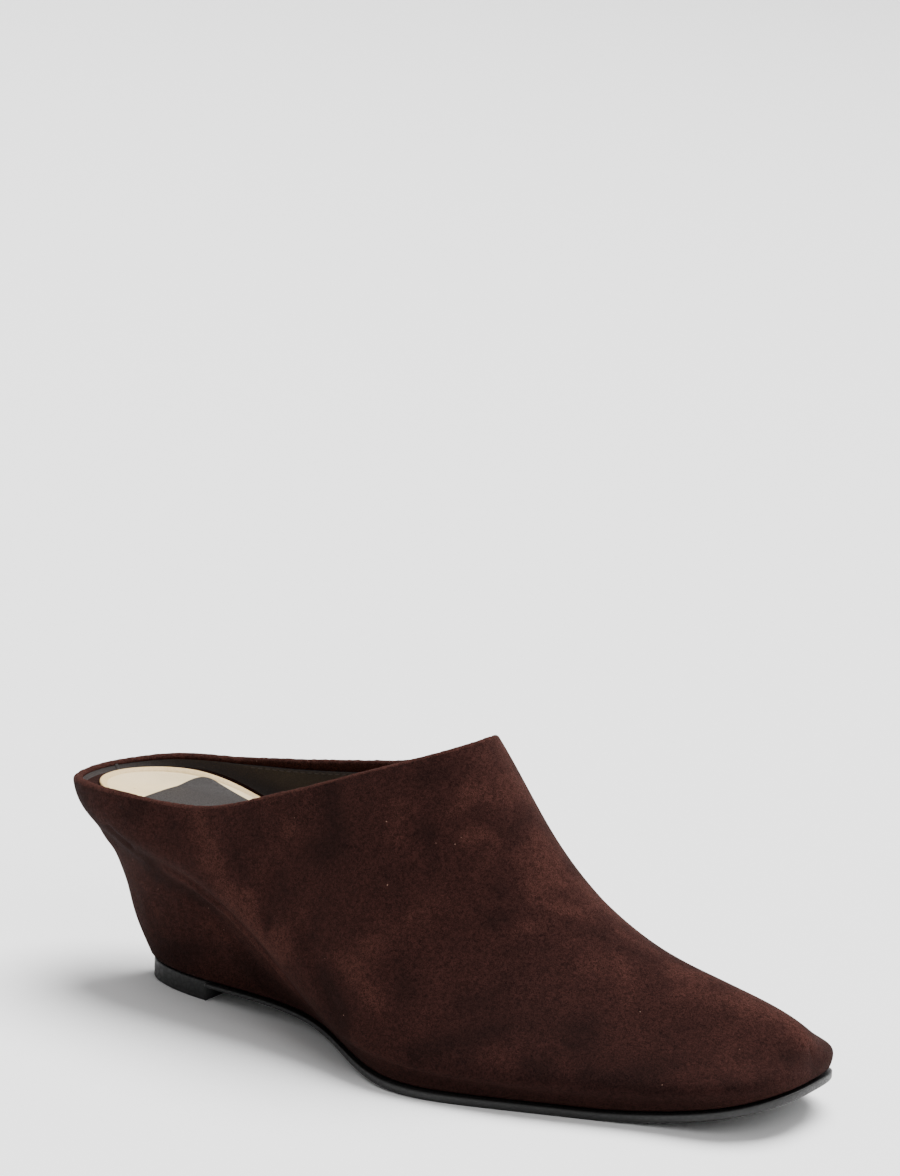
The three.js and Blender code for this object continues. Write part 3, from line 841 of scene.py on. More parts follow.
class MuleSuede(bpy.types.PropertyGroup):
    """Sizes and colours of the suede upper."""

    wall: FloatProperty(
        name="Suede", description="Thickness of the suede", default=0.0010, unit="LENGTH"
    )
    rim: FloatProperty(
        name="Rim", description="Thickness of the rolled collar edge", default=0.0022, unit="LENGTH"
    )
    foot_round: FloatProperty(
        name="Foot rounding", description="Radius of the edge over the sole", default=0.0013, unit="LENGTH"
    )
    tuck: FloatProperty(
        name="Tuck", description="Width turned under the foot", default=0.004, unit="LENGTH"
    )
    fold_scale: FloatProperty(
        name="Folds", description="Height of the folds", default=1.0, min=0, max=2
    )
    rows: IntProperty(name="Rows", description="Rows of faces from the foot to the top", default=118)
    # The dark and the light colours are also the colours of the painted shade and painted light of the nap
    # marks
    dark: FloatVectorProperty(
        name="Dark nap",
        description="Colour of nap brushed away",
        subtype="COLOR_GAMMA",
        default=(0.116, 0.058, 0.050),
    )
    middle: FloatVectorProperty(
        name="Nap", description="Main colour", subtype="COLOR_GAMMA", default=(0.165, 0.087, 0.075)
    )
    light: FloatVectorProperty(
        name="Light nap",
        description="Colour of nap brushed up",
        subtype="COLOR_GAMMA",
        default=(0.222, 0.126, 0.108),
    )


class MuleLining(bpy.types.PropertyGroup):
    """Sizes and colours of the lining and its stitches."""

    inner: FloatProperty(
        name="Face", description="Depth of the lining's face in the wall", default=0.0021, unit="LENGTH"
    )
    outer: FloatProperty(
        name="Back", description="Depth of the lining's back in the wall", default=0.0014, unit="LENGTH"
    )
    stitch: FloatProperty(
        name="Stitch", description="Length of one stitch", default=0.0016, unit="LENGTH"
    )
    pitch: FloatProperty(
        name="Pitch", description="Distance from stitch to stitch", default=0.0024, unit="LENGTH"
    )
    thread: FloatProperty(
        name="Thread", description="Thickness of the thread", default=0.00035, unit="LENGTH"
    )
    color: FloatVectorProperty(
        name="Leather",
        description="Colour of the lining",
        subtype="COLOR_GAMMA",
        default=(0.222, 0.197, 0.190),
    )
    thread_color: FloatVectorProperty(
        name="Thread",
        description="Colour of the thread",
        subtype="COLOR_GAMMA",
        default=(0.34, 0.31, 0.295),
    )


class MuleFootbed(bpy.types.PropertyGroup):
    """Sizes and colours of the insole cover, the heel pad and its patch."""

    margin: FloatProperty(
        name="Margin", description="Width of suede round the pad", default=0.0052, unit="LENGTH"
    )
    cup: FloatProperty(
        name="Cup", description="How far the footbed's edge turns up", default=0.0050, unit="LENGTH"
    )
    cup_width: FloatProperty(
        name="Cup width", description="Width of the turned up edge", default=0.014, unit="LENGTH"
    )
    pad: FloatVectorProperty(
        name="Pad", description="Colour of the pad", subtype="COLOR_GAMMA", default=(0.86, 0.765, 0.58)
    )
    patch: FloatVectorProperty(
        name="Patch",
        description="Colour of the bare patch",
        subtype="COLOR_GAMMA",
        default=(0.150, 0.130, 0.122),
    )


class MuleSole(bpy.types.PropertyGroup):
    """Sizes and colours of the outsole and the top lift."""

    edge: FloatProperty(name="Edge", description="Rounding of the edges", default=0.0005, unit="LENGTH")
    sole: FloatVectorProperty(
        name="Sole",
        description="Colour of the outsole",
        subtype="COLOR_GAMMA",
        default=(0.085, 0.083, 0.083),
    )
    lift: FloatVectorProperty(
        name="Top lift",
        description="Colour of the top lift",
        subtype="COLOR_GAMMA",
        default=(0.065, 0.065, 0.065),
    )


class MuleStage(bpy.types.PropertyGroup):
    """The floor, the lights and the camera."""

    lens: FloatProperty(
        name="Lens", description="Focal length in millimetres", default=138.2, unit="CAMERA"
    )
    floor: FloatVectorProperty(
        name="Floor",
        description="Colour of the floor",
        subtype="COLOR_GAMMA",
        default=(0.98, 0.98, 0.98),
    )
    key: FloatProperty(name="Key", description="Strength of the light above", default=8.0)
    softness: FloatProperty(
        name="Softness", description="Angle that the light above fills", default=0.75, unit="ROTATION"
    )
    fill: FloatProperty(
        name="Fill", description="Power of the light in front", default=14.0, unit="POWER"
    )
    sky: FloatProperty(name="Sky", description="Strength of the white surroundings", default=0.45)


# Heights over the foot in millimetres between which the folds come up to their full height
FOLD_FOOT = (0.5, 5)

# How much closer the rows stand at the foot and the top than halfway
ROW_CROWDING = 0.55


def wall_points(wall, share):
    """Points of the suede's outer face with its folds, and the outward normals, at shares of the
    columns. Folds fade out towards the foot."""
    index = band_index(share.shape[1])
    faces = strip_faces(index)
    flat = wall.points(share).reshape(-1, 3)
    height = flat[:, 2] - upper_foot(flat[:, 0])
    lift = fold_height(flat) * smoothstep(height, *FOLD_FOOT)
    moved = (flat + vertex_normals(flat, faces) * lift[:, None])[index.ravel()]
    normals = vertex_normals(moved, faces)[index.ravel()]
    return moved.reshape(share.shape + (3,)), normals.reshape(share.shape + (3,))


def row_shares(rows):
    """Shares of rows from 0 to 1, closer together at both ends by a sine."""
    u = np.linspace(0, 1, rows + 1)
    return u - ROW_CROWDING * np.sin(2 * math.pi * u) / (2 * math.pi)


def rim_frame(points, normals):
    """Unit vectors at the collar: out of the wall, and up out of its edge, square to the edge line."""
    loop = collar_loop()
    edge = points[loop, -1]
    out = normals[loop, -1]
    tangent = np.roll(edge, -1, axis=0) - np.roll(edge, 1, axis=0)
    up = np.cross(tangent, out)
    up /= np.linalg.norm(up, axis=1, keepdims=True)
    up *= np.sign(np.sum(up * (edge - points[loop, -3]), axis=1, keepdims=True))
    out = out - np.sum(out * up, axis=1, keepdims=True) * up
    out /= np.linalg.norm(out, axis=1, keepdims=True)
    return edge, out, up


# How much thicker the collar is round the heel, in millimetres, and the shares along it between
# which that ends
HEEL_PADDING = 0.6
PADDING_END = (0.12, 0.34)


def heel_padding(share):
    """How much thicker the collar is than further on, all round the heel, in millimetres."""
    return HEEL_PADDING * (1 - smoothstep(share, *PADDING_END))


def turn_depth(share):
    """How far the suede turns down inside the collar at a share along it."""
    return column(TURN, "depth", share)


def half_turn(steps):
    """Angles of that many places inside a half turn, without its two ends."""
    return np.linspace(0, math.pi, steps + 2)[1:-1]


# Places round the roll of the suede's rim, and round the edge of the lining
ROLL_STEPS = 9
LINING_EDGE_STEPS = 5

# Steps of the suede that is turned under the foot. The inner face's rows, and the outer row over
# which the first one stands
TUCK_STEPS = 3
INNER_ROWS = 16
INNER_START = 6

# The suede turned down inside the collar: share of its depth, and how far it stands back from the
# roll's inner side in millimetres. Its least depth, and its end's gap to the inner face
TURNED_IN = ((0.0, 0.0), (0.35, 0.1), (0.7, 0.35), (1.0, 0.75), (1.6, 0.95))
LEAST_TURN = 0.4
TURN_GAP = 0.1

# How unevenly the nap stands on the roll, in millimetres, and the seed of that unevenness
FRAY = 0.07
FRAY_SEED = 11

# Painted light on the nap of the roll and inside it, which lightens the turned-in suede where it lies in
# shade
TURNED_PAINTED_LIGHT = 0.9

# Share of the rim's radius that its roll adds to the height of the edge
ROLL_RISE = 0.85


class MULE_OT_upper(bpy.types.Operator):
    """Make the suede upper: a closed skin with a rolled collar edge and a foot that turns under"""

    bl_idname = "mule.make_upper"
    bl_label = "Suede upper"

    def execute(self, context):
        sizes = context.scene.mule_suede
        outer, inner, under, normals = self.skin(sizes)
        roll = self.roll(sizes, outer, normals)
        outer_index = band_index(sizes.rows + 1)
        inner_index = band_index(INNER_ROWS, outer_index.size)
        under_index = number(under.shape[:2], outer_index.size + inner_index.size)
        first = under_index.max() + 1
        roll_index = number(roll.shape[:2], first)
        loop = collar_loop()
        foot = np.concatenate([outer_index[:, :1], under_index, inner_index[:, :1]], 1)
        collar = np.concatenate([outer_index[loop, -1:], roll_index, inner_index[loop, -1:]], 1)
        points = np.concatenate([part.reshape(-1, 3) for part in (outer, inner, under, roll)])
        faces = [
            strip_faces(outer_index),
            strip_faces(inner_index)[:, ::-1],
            strip_faces(foot)[:, ::-1],
            strip_faces(collar),
        ]
        colors = (sizes.dark, sizes.middle, sizes.light)
        material = suede_material("Dark brown suede", colors, contrast=0.4, marked=True)
        made, used = make_mesh("suede_upper", points, faces, material)
        turned_in = used >= first
        # The nap attribute holds the painted light and shade of the folds and marks, the lighter and
        # darker patches of the nap, and painted light on the turned-in roll
        add_attribute(made, "nap", nap_tones_and_painted_light(points[used]) + TURNED_PAINTED_LIGHT * turned_in)
        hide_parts("upper")
        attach(made, "root")
        return {"FINISHED"}

    def skin(self, sizes):
        """The outer face with its edge rounded in over the sole, the inner face, the suede turned under
        the foot and up to its inner side, and the outer face's normals."""
        wall = Wall(lambda share: ROLL_RISE * self.rim_radius(sizes, share))
        shares = np.broadcast_to(row_shares(sizes.rows), (2 * WALL_COLUMNS, sizes.rows + 1))
        outer, normals = wall_points(wall, shares)
        radius = sizes.foot_round / MM
        height = outer[..., 2] - upper_foot(outer[..., 0])
        inset = radius - np.sqrt(np.maximum(0, radius**2 - np.maximum(0, radius - height) ** 2))
        level_out = normals * np.array([1, 1, 0])
        level_out /= np.linalg.norm(level_out, axis=2, keepdims=True)
        outer = outer - level_out * inset[..., None]
        inner_rows = np.linspace(INNER_START, sizes.rows, INNER_ROWS).astype(int)
        inner = outer[:, inner_rows] - normals[:, inner_rows] * sizes.wall / MM
        steps = np.linspace(0, sizes.tuck / MM, TUCK_STEPS + 1)[1:]
        turned = [outer[:, 0] - level_out[:, 0] * step for step in steps]
        under = [self.on_foot(points, 0) for points in turned]
        under.append(self.on_foot(turned[-1], sizes.wall / MM))
        return outer, inner, np.stack(under, 1), normals

    def roll(self, sizes, outer, normals):
        """The collar's edge: it rolls over its own radius, unevenly, and turns down inside."""
        edge, out, up = rim_frame(outer, normals)
        share = collar_along(edge[:, 0])[:, None]
        rim = self.rim_radius(sizes, share)
        arc = [edge + rim * (out * (math.cos(a) - 1) + up * math.sin(a)) for a in half_turn(ROLL_STEPS)]
        frayed = np.random.default_rng(FRAY_SEED).normal(0, FRAY, (len(arc), len(edge), 1))
        arc = [ring + up * uneven for ring, uneven in zip(arc, frayed)]
        fall = np.maximum(turn_depth(share) - rim, LEAST_TURN)
        inside = [edge - out * (2 * rim - back) - up * fall * down for down, back in TURNED_IN]
        end = [edge - out * (sizes.wall / MM + TURN_GAP) - up * fall * TURNED_IN[-1][0]]
        return np.stack(arc + inside + end, 1)

    @staticmethod
    def rim_radius(sizes, share):
        """Radius of the collar's roll at a share along it, in millimetres."""
        return sizes.rim / MM / 2 + heel_padding(share) / 2

    @staticmethod
    def on_foot(points, above):
        """The points moved to the height of the upper's foot plus above."""
        moved = points.copy()
        moved[:, 2] = upper_foot(points[:, 0]) + above
        return moved


# How much wider and how strong the lighter and the darker marks are drawn
LIGHT_SPREAD = 1.7
LIGHT_STRENGTH = 0.55
DARK_SPREAD = 1.3
DARK_STRENGTH = 0.7

# How much further on along the shoe the inner side has the same marks, as a share
FAR_SHIFT = 0.05

# Marks in the nap's colour: tone from -1 dark to 1 light, half width in millimetres, and the places
# that each passes through as share along the shoe and level up the side. The first groups are painted
# light and painted shade; the smaller marks are lighter and darker patches of the nap, with painted
# light and shade along the folds of the wedge among them.
NAP_MARKS_AND_PAINTED_LIGHT = [
    # painted light along the collar's edge, painted shade along the foot
    (0.9, 3.0, (0.12, 3.1), (0.25, 3.1), (0.33, 3.2), (0.42, 3.5), (0.5, 3.8)),
    (-0.35, 6.0, (0.04, 0.2), (0.3, 0.3), (0.5, 0.4), (0.7, 0.5), (0.9, 0.6), (0.98, 1.0)),
    # broad: painted shade on the heel, arch and ball, painted light on the middle of the quarter
    (-0.9, 6.0, (0.03, 2.5), (0.08, 2.2), (0.12, 2.0)),
    (0.35, 6.0, (0.08, 1.0), (0.16, 1.0), (0.24, 1.1)),
    (-0.3, 7.0, (0.38, 0.9), (0.5, 0.9), (0.62, 0.9), (0.8, 1.1), (0.92, 1.3)),
    (-0.3, 5.0, (0.62, 2.5), (0.7, 2.6), (0.78, 2.6)),
    (0.3, 6.0, (0.40, 2.5), (0.48, 2.6), (0.55, 2.8)),
    (0.4, 5.0, (0.54, 3.9), (0.60, 3.6), (0.68, 3.6), (0.76, 3.5)),
    (0.4, 4.0, (0.93, 2.6), (0.95, 3.1)),
    # dark: heel and wedge
    (-0.5, 3.0, (0.15, 2.8), (0.17, 2.9)),
    (-0.3, 2.2, (0.22, 2.9), (0.23, 2.8)),
    (-0.5, 2.6, (0.12, 1.6), (0.17, 1.6), (0.21, 1.6)),
    (-0.5, 3.2, (0.09, 0.4), (0.18, 0.8)),
    (-0.5, 2.6, (0.22, 0.7), (0.25, 0.4), (0.28, 0.3)),
    # dark: quarter
    (-0.4, 2.6, (0.31, 2.9), (0.33, 2.8)),
    (-0.3, 2.6, (0.32, 3.1), (0.34, 3.0)),
    (-0.6, 3.6, (0.41, 3.3), (0.45, 3.1), (0.41, 3.0)),
    (-0.3, 1.8, (0.39, 2.9), (0.40, 2.8)),
    (-0.6, 1.2, (0.37, 2.6), (0.36, 2.4)),
    (-0.3, 1.8, (0.42, 2.6), (0.42, 2.4)),
    (-0.6, 2.6, (0.46, 2.4), (0.48, 2.1), (0.47, 1.4)),
    # dark: side and vamp
    (-0.3, 2.6, (0.52, 3.1), (0.54, 3.0)),
    (-0.35, 3.2, (0.52, 3.5), (0.54, 3.6)),
    (-0.35, 2.6, (0.54, 3.4), (0.54, 3.3)),
    (-0.35, 2.6, (0.55, 3.3), (0.56, 3.2)),
    (-0.5, 2.6, (0.58, 3.6), (0.61, 3.7), (0.61, 4.0)),
    (-0.5, 3.4, (0.63, 3.4), (0.65, 3.4), (0.64, 3.2)),
    (-0.35, 2.8, (0.66, 3.1), (0.69, 3.3)),
    (-0.45, 2.6, (0.70, 3.6), (0.74, 3.8), (0.78, 3.8), (0.82, 3.6)),
    (-0.4, 3.6, (0.55, 2.7), (0.57, 2.5)),
    (-0.3, 3.6, (0.68, 2.9), (0.64, 2.6)),
    # dark: ball and toe
    (-0.45, 2.6, (0.59, 2.0), (0.64, 2.2), (0.68, 2.4)),
    (-0.4, 2.6, (0.72, 2.1), (0.74, 2.0)),
    (-0.4, 2.1, (0.79, 2.0), (0.83, 1.9), (0.87, 1.2), (0.89, 1.2)),
    (-0.3, 3.2, (0.77, 2.5), (0.78, 2.8)),
    (-0.3, 3.0, (0.88, 2.6), (0.84, 2.3)),
    (-0.3, 2.6, (0.87, 3.1), (0.91, 3.4)),
    (-0.35, 1.8, (0.94, 2.2), (0.95, 2.0)),
    (-0.45, 2.4, (0.99, 3.0), (1.0, 2.8)),
    # light: heel and wedge
    (0.4, 1.6, (0.08, 2.7), (0.10, 2.5)),
    (0.4, 1.8, (0.26, 3.0), (0.27, 2.9)),
    (0.7, 3.2, (0.24, 3.0), (0.29, 2.7), (0.34, 2.5), (0.36, 2.3)),
    (0.4, 0.9, (0.08, 1.4), (0.09, 0.9), (0.09, 0.7)),
    (0.35, 1.8, (0.19, 1.3), (0.21, 1.0)),
    # light: quarter and arch
    (0.3, 2.4, (0.38, 3.1), (0.41, 3.0)),
    (0.3, 2.6, (0.51, 3.3), (0.52, 3.2)),
    (0.45, 1.5, (0.50, 2.5), (0.52, 2.4), (0.54, 2.3)),
    (0.35, 2.6, (0.49, 1.4), (0.53, 1.1)),
    (0.3, 2.6, (0.56, 3.0), (0.59, 2.9)),
    # light: vamp
    (0.4, 2.2, (0.56, 3.6), (0.58, 3.8)),
    (0.4, 2.2, (0.57, 4.1), (0.60, 4.1)),
    (0.5, 1.1, (0.58, 3.4), (0.58, 3.5), (0.60, 3.6)),
    (0.35, 3.2, (0.63, 3.7), (0.63, 3.9)),
    (0.5, 1.5, (0.66, 3.5), (0.69, 3.7), (0.71, 3.8)),
    (0.4, 2.4, (0.65, 3.9), (0.69, 4.0)),
    (0.4, 1.8, (0.65, 3.1), (0.66, 3.2)),
    (0.35, 1.8, (0.67, 3.3), (0.68, 3.4)),
    (0.25, 1.8, (0.70, 2.9), (0.73, 3.2), (0.76, 3.5)),
    (0.4, 1.8, (0.74, 4.0), (0.78, 4.1)),
    (0.45, 2.6, (0.81, 3.7), (0.85, 3.9)),
    # light: ball and toe
    (0.3, 2.4, (0.59, 2.2), (0.60, 2.4)),
    (0.35, 2.0, (0.68, 2.1), (0.70, 2.0)),
    (0.3, 2.4, (0.84, 3.5), (0.86, 3.7), (0.90, 3.8)),
    (0.25, 3.0, (0.81, 3.0), (0.82, 3.0)),
    (0.4, 2.6, (0.93, 3.8), (0.99, 3.8)),
    (0.45, 1.5, (0.95, 2.3), (0.96, 2.6), (0.97, 2.9)),
    (0.3, 2.6, (0.90, 2.1), (0.92, 2.1)),
    (0.35, 2.2, (0.99, 1.4), (1.0, 1.4)),
]


def nap_tones_and_painted_light(points):
    """The painted light and shade of the folds and the tones of the marks in the nap added up: painted
    light and shade, and lighter and darker patches of the nap. The inner side has the same marks, a
    little further on."""
    total = np.zeros(len(points))
    for _, width, tone, *path in FOLDS:
        total += tone * path_weight(points, path, width)
    for tone, width, *places in NAP_MARKS_AND_PAINTED_LIGHT:
        along, level = np.array(places).T
        tone *= LIGHT_STRENGTH if tone > 0 else DARK_STRENGTH
        width *= LIGHT_SPREAD if tone > 0 else DARK_SPREAD
        total += tone * path_weight(points, last_point(along, level), width, faded=False)
        far = last_point(np.minimum(1, along + FAR_SHIFT), LAST_LEVEL - level)
        total += tone * path_weight(points, far, width, faded=False)
    return total


# The lining's seam: the column of the wall that it lies on, its width in columns and its height
SEAM_COLUMN = 2 * WALL_COLUMNS - 8
SEAM_COLUMNS = 1.2
SEAM_HEIGHT = 0.25

# Places across the seam, how deep its edges lie in the lining and its back behind it, in millimetres
SEAM_STEPS = 9
SEAM_SINK = 0.05
SEAM_BACK = 0.3

# Rows of the lining's face, rows of its face to one of its back, and how deep it ends under the footbed
LINING_ROWS = 40
LINING_BACK_STEP = 8
LINING_FOOT = 1.5

# Share along the collar where the stitches start, how far under the lining's edge they run and how
# high they stand on it, in millimetres, and the shares of the wall's columns that give their line
STITCH_START = 0.2
STITCH_DROP = 0.45
STITCH_GAP = 0.02
STITCH_SHARES = (0.97, 0.985, 1.0)

# A stitch's rings: place from one end to the other, and share of the thread's radius. Its sides
STITCH_RINGS = np.array([(-1, 0.35), (-0.7, 0.85), (0, 1), (0.7, 0.85), (1, 0.35)])
STITCH_SIDES = 6


class MULE_OT_lining(bpy.types.Operator):
    """Make the leather lining with its turned top edge, and the stitches along it"""

    bl_idname = "mule.make_lining"
    bl_label = "Lining and stitches"

    def execute(self, context):
        sizes = context.scene.mule_lining
        wall = Wall(turn_depth)
        count = 2 * WALL_COLUMNS
        low = crossing(
            lambda share: self.over_footbed(wall.points(share[:, None])[:, 0]),
            np.zeros(count),
            np.ones(count),
        )
        shares = low[:, None] + (1 - low[:, None]) * np.linspace(0, 1, LINING_ROWS + 1)
        skin, normals = wall_points(wall, shares)
        padding = heel_padding(collar_along(skin[:, -1, 0]))[:, None, None]
        face_depth = sizes.inner / MM + padding
        back_depth = sizes.outer / MM + padding
        face = skin - normals * face_depth
        back = skin[:, ::LINING_BACK_STEP] - normals[:, ::LINING_BACK_STEP] * back_depth
        face_index = band_index(LINING_ROWS + 1)
        back_index = band_index(back.shape[1], face_index.size)
        points = [face.reshape(-1, 3), back.reshape(-1, 3)]
        faces = [strip_faces(face_index)[:, ::-1], strip_faces(back_index)]
        faces.append(strip_faces(np.stack([face_index[:, 0], back_index[:, 0]], 1)))
        edge, out, up = rim_frame(skin, normals)
        loop = collar_loop()
        half = (sizes.inner - sizes.outer) / MM / 2
        middle = face_depth[loop, 0] - half
        turn = half_turn(LINING_EDGE_STEPS)
        arc = [edge - out * middle + half * (up * math.sin(a) - out * math.cos(a)) for a in turn]
        arc = np.stack(arc, 1)
        arc_index = number(arc.shape[:2], face_index.size + back_index.size)
        points.append(arc.reshape(-1, 3))
        joined = np.concatenate([face_index[loop, -1:], arc_index, back_index[loop, -1:]], 1)
        faces.append(strip_faces(joined)[:, ::-1])
        leather = leather_material(
            "Black lining leather", sizes.color, roughness=0.5, grain=1300.0, bump=0.25
        )
        made, _ = make_mesh("lining", np.concatenate(points), faces, leather)
        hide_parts("upper")
        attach(made, "root")
        self.join(face, normals, leather)
        self.sew(sizes)
        return {"FINISHED"}

    @staticmethod
    def join(face, normals, leather):
        """The lining's seam near the back: a low strip up the face, rounded like half an ellipse."""
        turn = np.linspace(0, math.pi, SEAM_STEPS)
        column_at = SEAM_COLUMN + np.cos(turn) * SEAM_COLUMNS / 2
        before = np.floor(column_at).astype(int)
        blend = (column_at - before)[:, None, None]
        on_face = face[before] * (1 - blend) + face[before + 1] * blend
        inwards = normals[before]
        front = on_face - inwards * (np.sin(turn)[:, None, None] * SEAM_HEIGHT - SEAM_SINK)
        back = on_face + inwards * SEAM_BACK
        index = number(front.shape[:2])
        behind = index + index.size
        edge = np.concatenate([index[:-1, 0], index[-1, :-1], index[:0:-1, -1], index[0, :0:-1]])
        points = np.concatenate([front.reshape(-1, 3), back.reshape(-1, 3)])
        faces = [
            strip_faces(index, closed=False)[:, ::-1],
            strip_faces(behind, closed=False),
            strip_faces(np.stack([edge, edge + index.size], 1)),
        ]
        made, _ = make_mesh("lining_seam", points, faces, leather)
        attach(made, "root")

    @staticmethod
    def over_footbed(points):
        """Height over the line where the lining meets the footbed."""
        return points[:, 2] - footbed(points[:, 0]) + LINING_FOOT

    @staticmethod
    def sew(sizes):
        """Stitches just under the lining's edge: small capsules along the collar, on the face."""
        wall = Wall(lambda share: turn_depth(share) + STITCH_DROP)
        shares = np.broadcast_to(STITCH_SHARES, (2 * WALL_COLUMNS, len(STITCH_SHARES)))
        skin, normals = wall_points(wall, shares)
        edge, out, _ = rim_frame(skin, normals)
        line = edge - out * (sizes.inner / MM + STITCH_GAP)
        sewn = np.arange(len(edge))[collar_along(edge[:, 0]) > STITCH_START]
        line, out = line[sewn], out[sewn]
        length = np.concatenate([[0], np.cumsum(np.linalg.norm(np.diff(line, axis=0), axis=1))])
        count = int(length[-1] / (sizes.pitch / MM))
        centre = (np.arange(count) + 0.5) * length[-1] / count
        around = np.linspace(0, 2 * math.pi, STITCH_SIDES + 1)[:-1]
        at = centre[:, None] + STITCH_RINGS[:, 0] * sizes.stitch / MM / 2
        spine = np.stack([np.interp(at, length, line[:, k]) for k in range(3)], -1)
        side = np.stack([np.interp(at, length, out[:, k]) for k in range(3)], -1)
        along = np.gradient(spine, axis=1)
        along /= np.linalg.norm(along, axis=2, keepdims=True)
        across = np.cross(along, side)
        radius = STITCH_RINGS[:, 1] * sizes.thread / MM / 2
        ring = np.cos(around)[:, None] * side[:, :, None] + np.sin(around)[:, None] * across[:, :, None]
        points = spine[:, :, None] + radius[None, :, None, None] * ring
        index = number(points.shape[:3])
        after = np.roll(index, -1, axis=2)
        quads = np.stack([index[:, :-1], index[:, 1:], after[:, 1:], after[:, :-1]], -1).reshape(-1, 4)
        caps = np.concatenate([index[:, 0], index[:, -1, ::-1]])
        thread, tree, shader, place = new_material("Grey thread")
        twist = noise(tree, place, 4000.0, detail=1.0)
        tone = mix_colors(tree, twist, linear(shade(sizes.thread_color, 0.8)), linear(sizes.thread_color))
        finish(tree, shader, {"Base Color": tone, "Roughness": 0.7})
        add_bump(tree, shader, twist, strength=0.3, distance=0.0001)
        made, _ = make_mesh("rim_stitches", points.reshape(-1, 3), [quads, caps], thread)
        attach(made, "root")


def plan_edge(points_at, along, outset):
    """Plan outline of a curve that runs with the shoe on both sides, moved outwards by an outset along
    the level normal: rows of an outer and an inner point."""
    here = points_at(along)
    before = points_at(np.maximum(0, along - EDGE_STEP))
    after = points_at(np.minimum(1, along + EDGE_STEP))
    tangent = after - before
    tangent /= np.linalg.norm(tangent, axis=2, keepdims=True)
    outwards = np.stack([tangent[..., 1], -tangent[..., 0]], -1) * np.array([1, -1])[:, None]
    return here + outwards * outset


# The footbed's edge turns up round the heel: its height falls from the whole at the first x to a
# small share at the second. At the very back it has the last share
CUP_BACK = -5
CUP_FRONT = 24
CUP_SIDE_SHARE = 0.22
CUP_BACK_SHARE = 0.7


def cup_share(x):
    """Share of the cup's height that the footbed's edge has at x: highest beside the heel."""
    rise = CUP_BACK_SHARE + (1 - CUP_BACK_SHARE) * smoothstep(x, -COLLAR_OVERHANG, CUP_BACK)
    return rise * (1 - (1 - CUP_SIDE_SHARE) * smoothstep(x, CUP_BACK, CUP_FRONT))


# The highest level at which the footbed's edge is looked for
FOOTBED_TOP_LEVEL = 3.0


def foot_line(along):
    """The outline of the upper's foot in plan: rows of an outer and an inner point."""
    points = level_points(along)
    return points[:, [0, LAST_LEVEL], :2]


def footbed_line(along, raised=0):
    """The outline of the upper at the raised edge of the footbed, found by halving the level."""
    sides = []
    for side in (0, 1):

        def over(level, side=side):
            point = last_point(along, on_side(side, level))
            x = point[:, 0]
            return point[:, 2] - footbed(x) - raised * cup_share(x)

        found = crossing(over, np.zeros(len(along)), np.full(len(along), FOOTBED_TOP_LEVEL))
        sides.append(last_point(along, on_side(side, found))[:, :2])
    return np.stack(sides, 1)


def dense_places(count):
    """Shares along the shoe, close together round the heel and the toe, without the very tips."""
    heel_end = HEEL_ROUND / SOLE_LENGTH
    toe_start = 1 - TOE_ROUND / SOLE_LENGTH
    turn = np.linspace(0, math.pi / 2, count // 4 + 1)
    heel = heel_end * (1 - np.cos(turn) ** (2 / HEEL_EXPONENT))
    toe = 1 - (1 - toe_start) * (1 - np.cos(turn) ** (2 / TOE_EXPONENT))
    middle = np.linspace(heel_end, toe_start, count // 2 + 1)
    return np.concatenate([heel[1:-1], middle, toe[::-1][1:-1]])


def evenly(line, count):
    """A line of plan points as that many, spread evenly by their number."""
    at = np.linspace(0, 1, count)
    have = np.linspace(0, 1, len(line))
    return np.stack([np.interp(at, have, values) for values in line.T], 1)


# How near to a cut in millimetres an outline's own points are left out
CUT_CLEAR = 0.05


def cut_rows(rows, x_from, x_to):
    """Keeps the part of an outline between two x, with straight ends there, on each side by itself."""
    sides = []
    for side in (0, 1):
        x, y = rows[:, side].T
        keep = (x > x_from + CUT_CLEAR) & (x < x_to - CUT_CLEAR)
        ends = [[at, np.interp(at, x, y)] for at in (x_from, x_to) if x[0] < at < x[-1]]
        line = rows[keep, side].tolist()
        if x_from > x[0]:
            line = [ends[0]] + line
        if x_to < x[-1]:
            line = line + [ends[-1]]
        sides.append(np.array(line))
    count = max(len(side) for side in sides)
    return np.stack([evenly(side, count) for side in sides], 1)


def slab(rows, rings, across=()):
    """A closed plate over a plan outline. Each ring is the outline moved inwards by an inset, at the
    height that a function of x and inset gives. Rings run from the underside round the edge to the
    top. On both sides the shares of across draw the outermost ring on towards the middle line, and
    rows of quads close the rest."""
    loop = np.concatenate([rows[:, 0], rows[::-1, 1]])
    tangent = np.roll(loop, -1, axis=0) - np.roll(loop, 1, axis=0)
    normal = np.stack([tangent[:, 1], -tangent[:, 0]], 1)
    normal /= np.maximum(np.linalg.norm(normal, axis=1, keepdims=True), 1e-9)
    below = [(rings[0], share) for share in across[::-1]]
    above = [(rings[-1], share) for share in across]
    points = []
    for (inset, height), share in below + [(ring, 0) for ring in rings] + above:
        plan = loop - normal * inset
        plan = plan + (plan[::-1] - plan) * share / 2
        points.append(np.column_stack([plan, height(plan[:, 0], inset)]))
    count = len(loop)
    total = len(points)
    index = number((total, count)).T
    faces = [strip_faces(index)]
    half = count // 2
    for ring, flip in ((0, 1), (total - 1, -1)):
        left = index[:half, ring]
        right = index[::-1, ring][:half]
        faces.append(np.stack([left[:-1], right[:-1], right[1:], left[1:]], 1)[:, ::flip])
    return np.concatenate(points), faces


def level_at(height):
    """A level surface at a height, for the rings of a plate."""
    return lambda x, inset: height + 0 * x


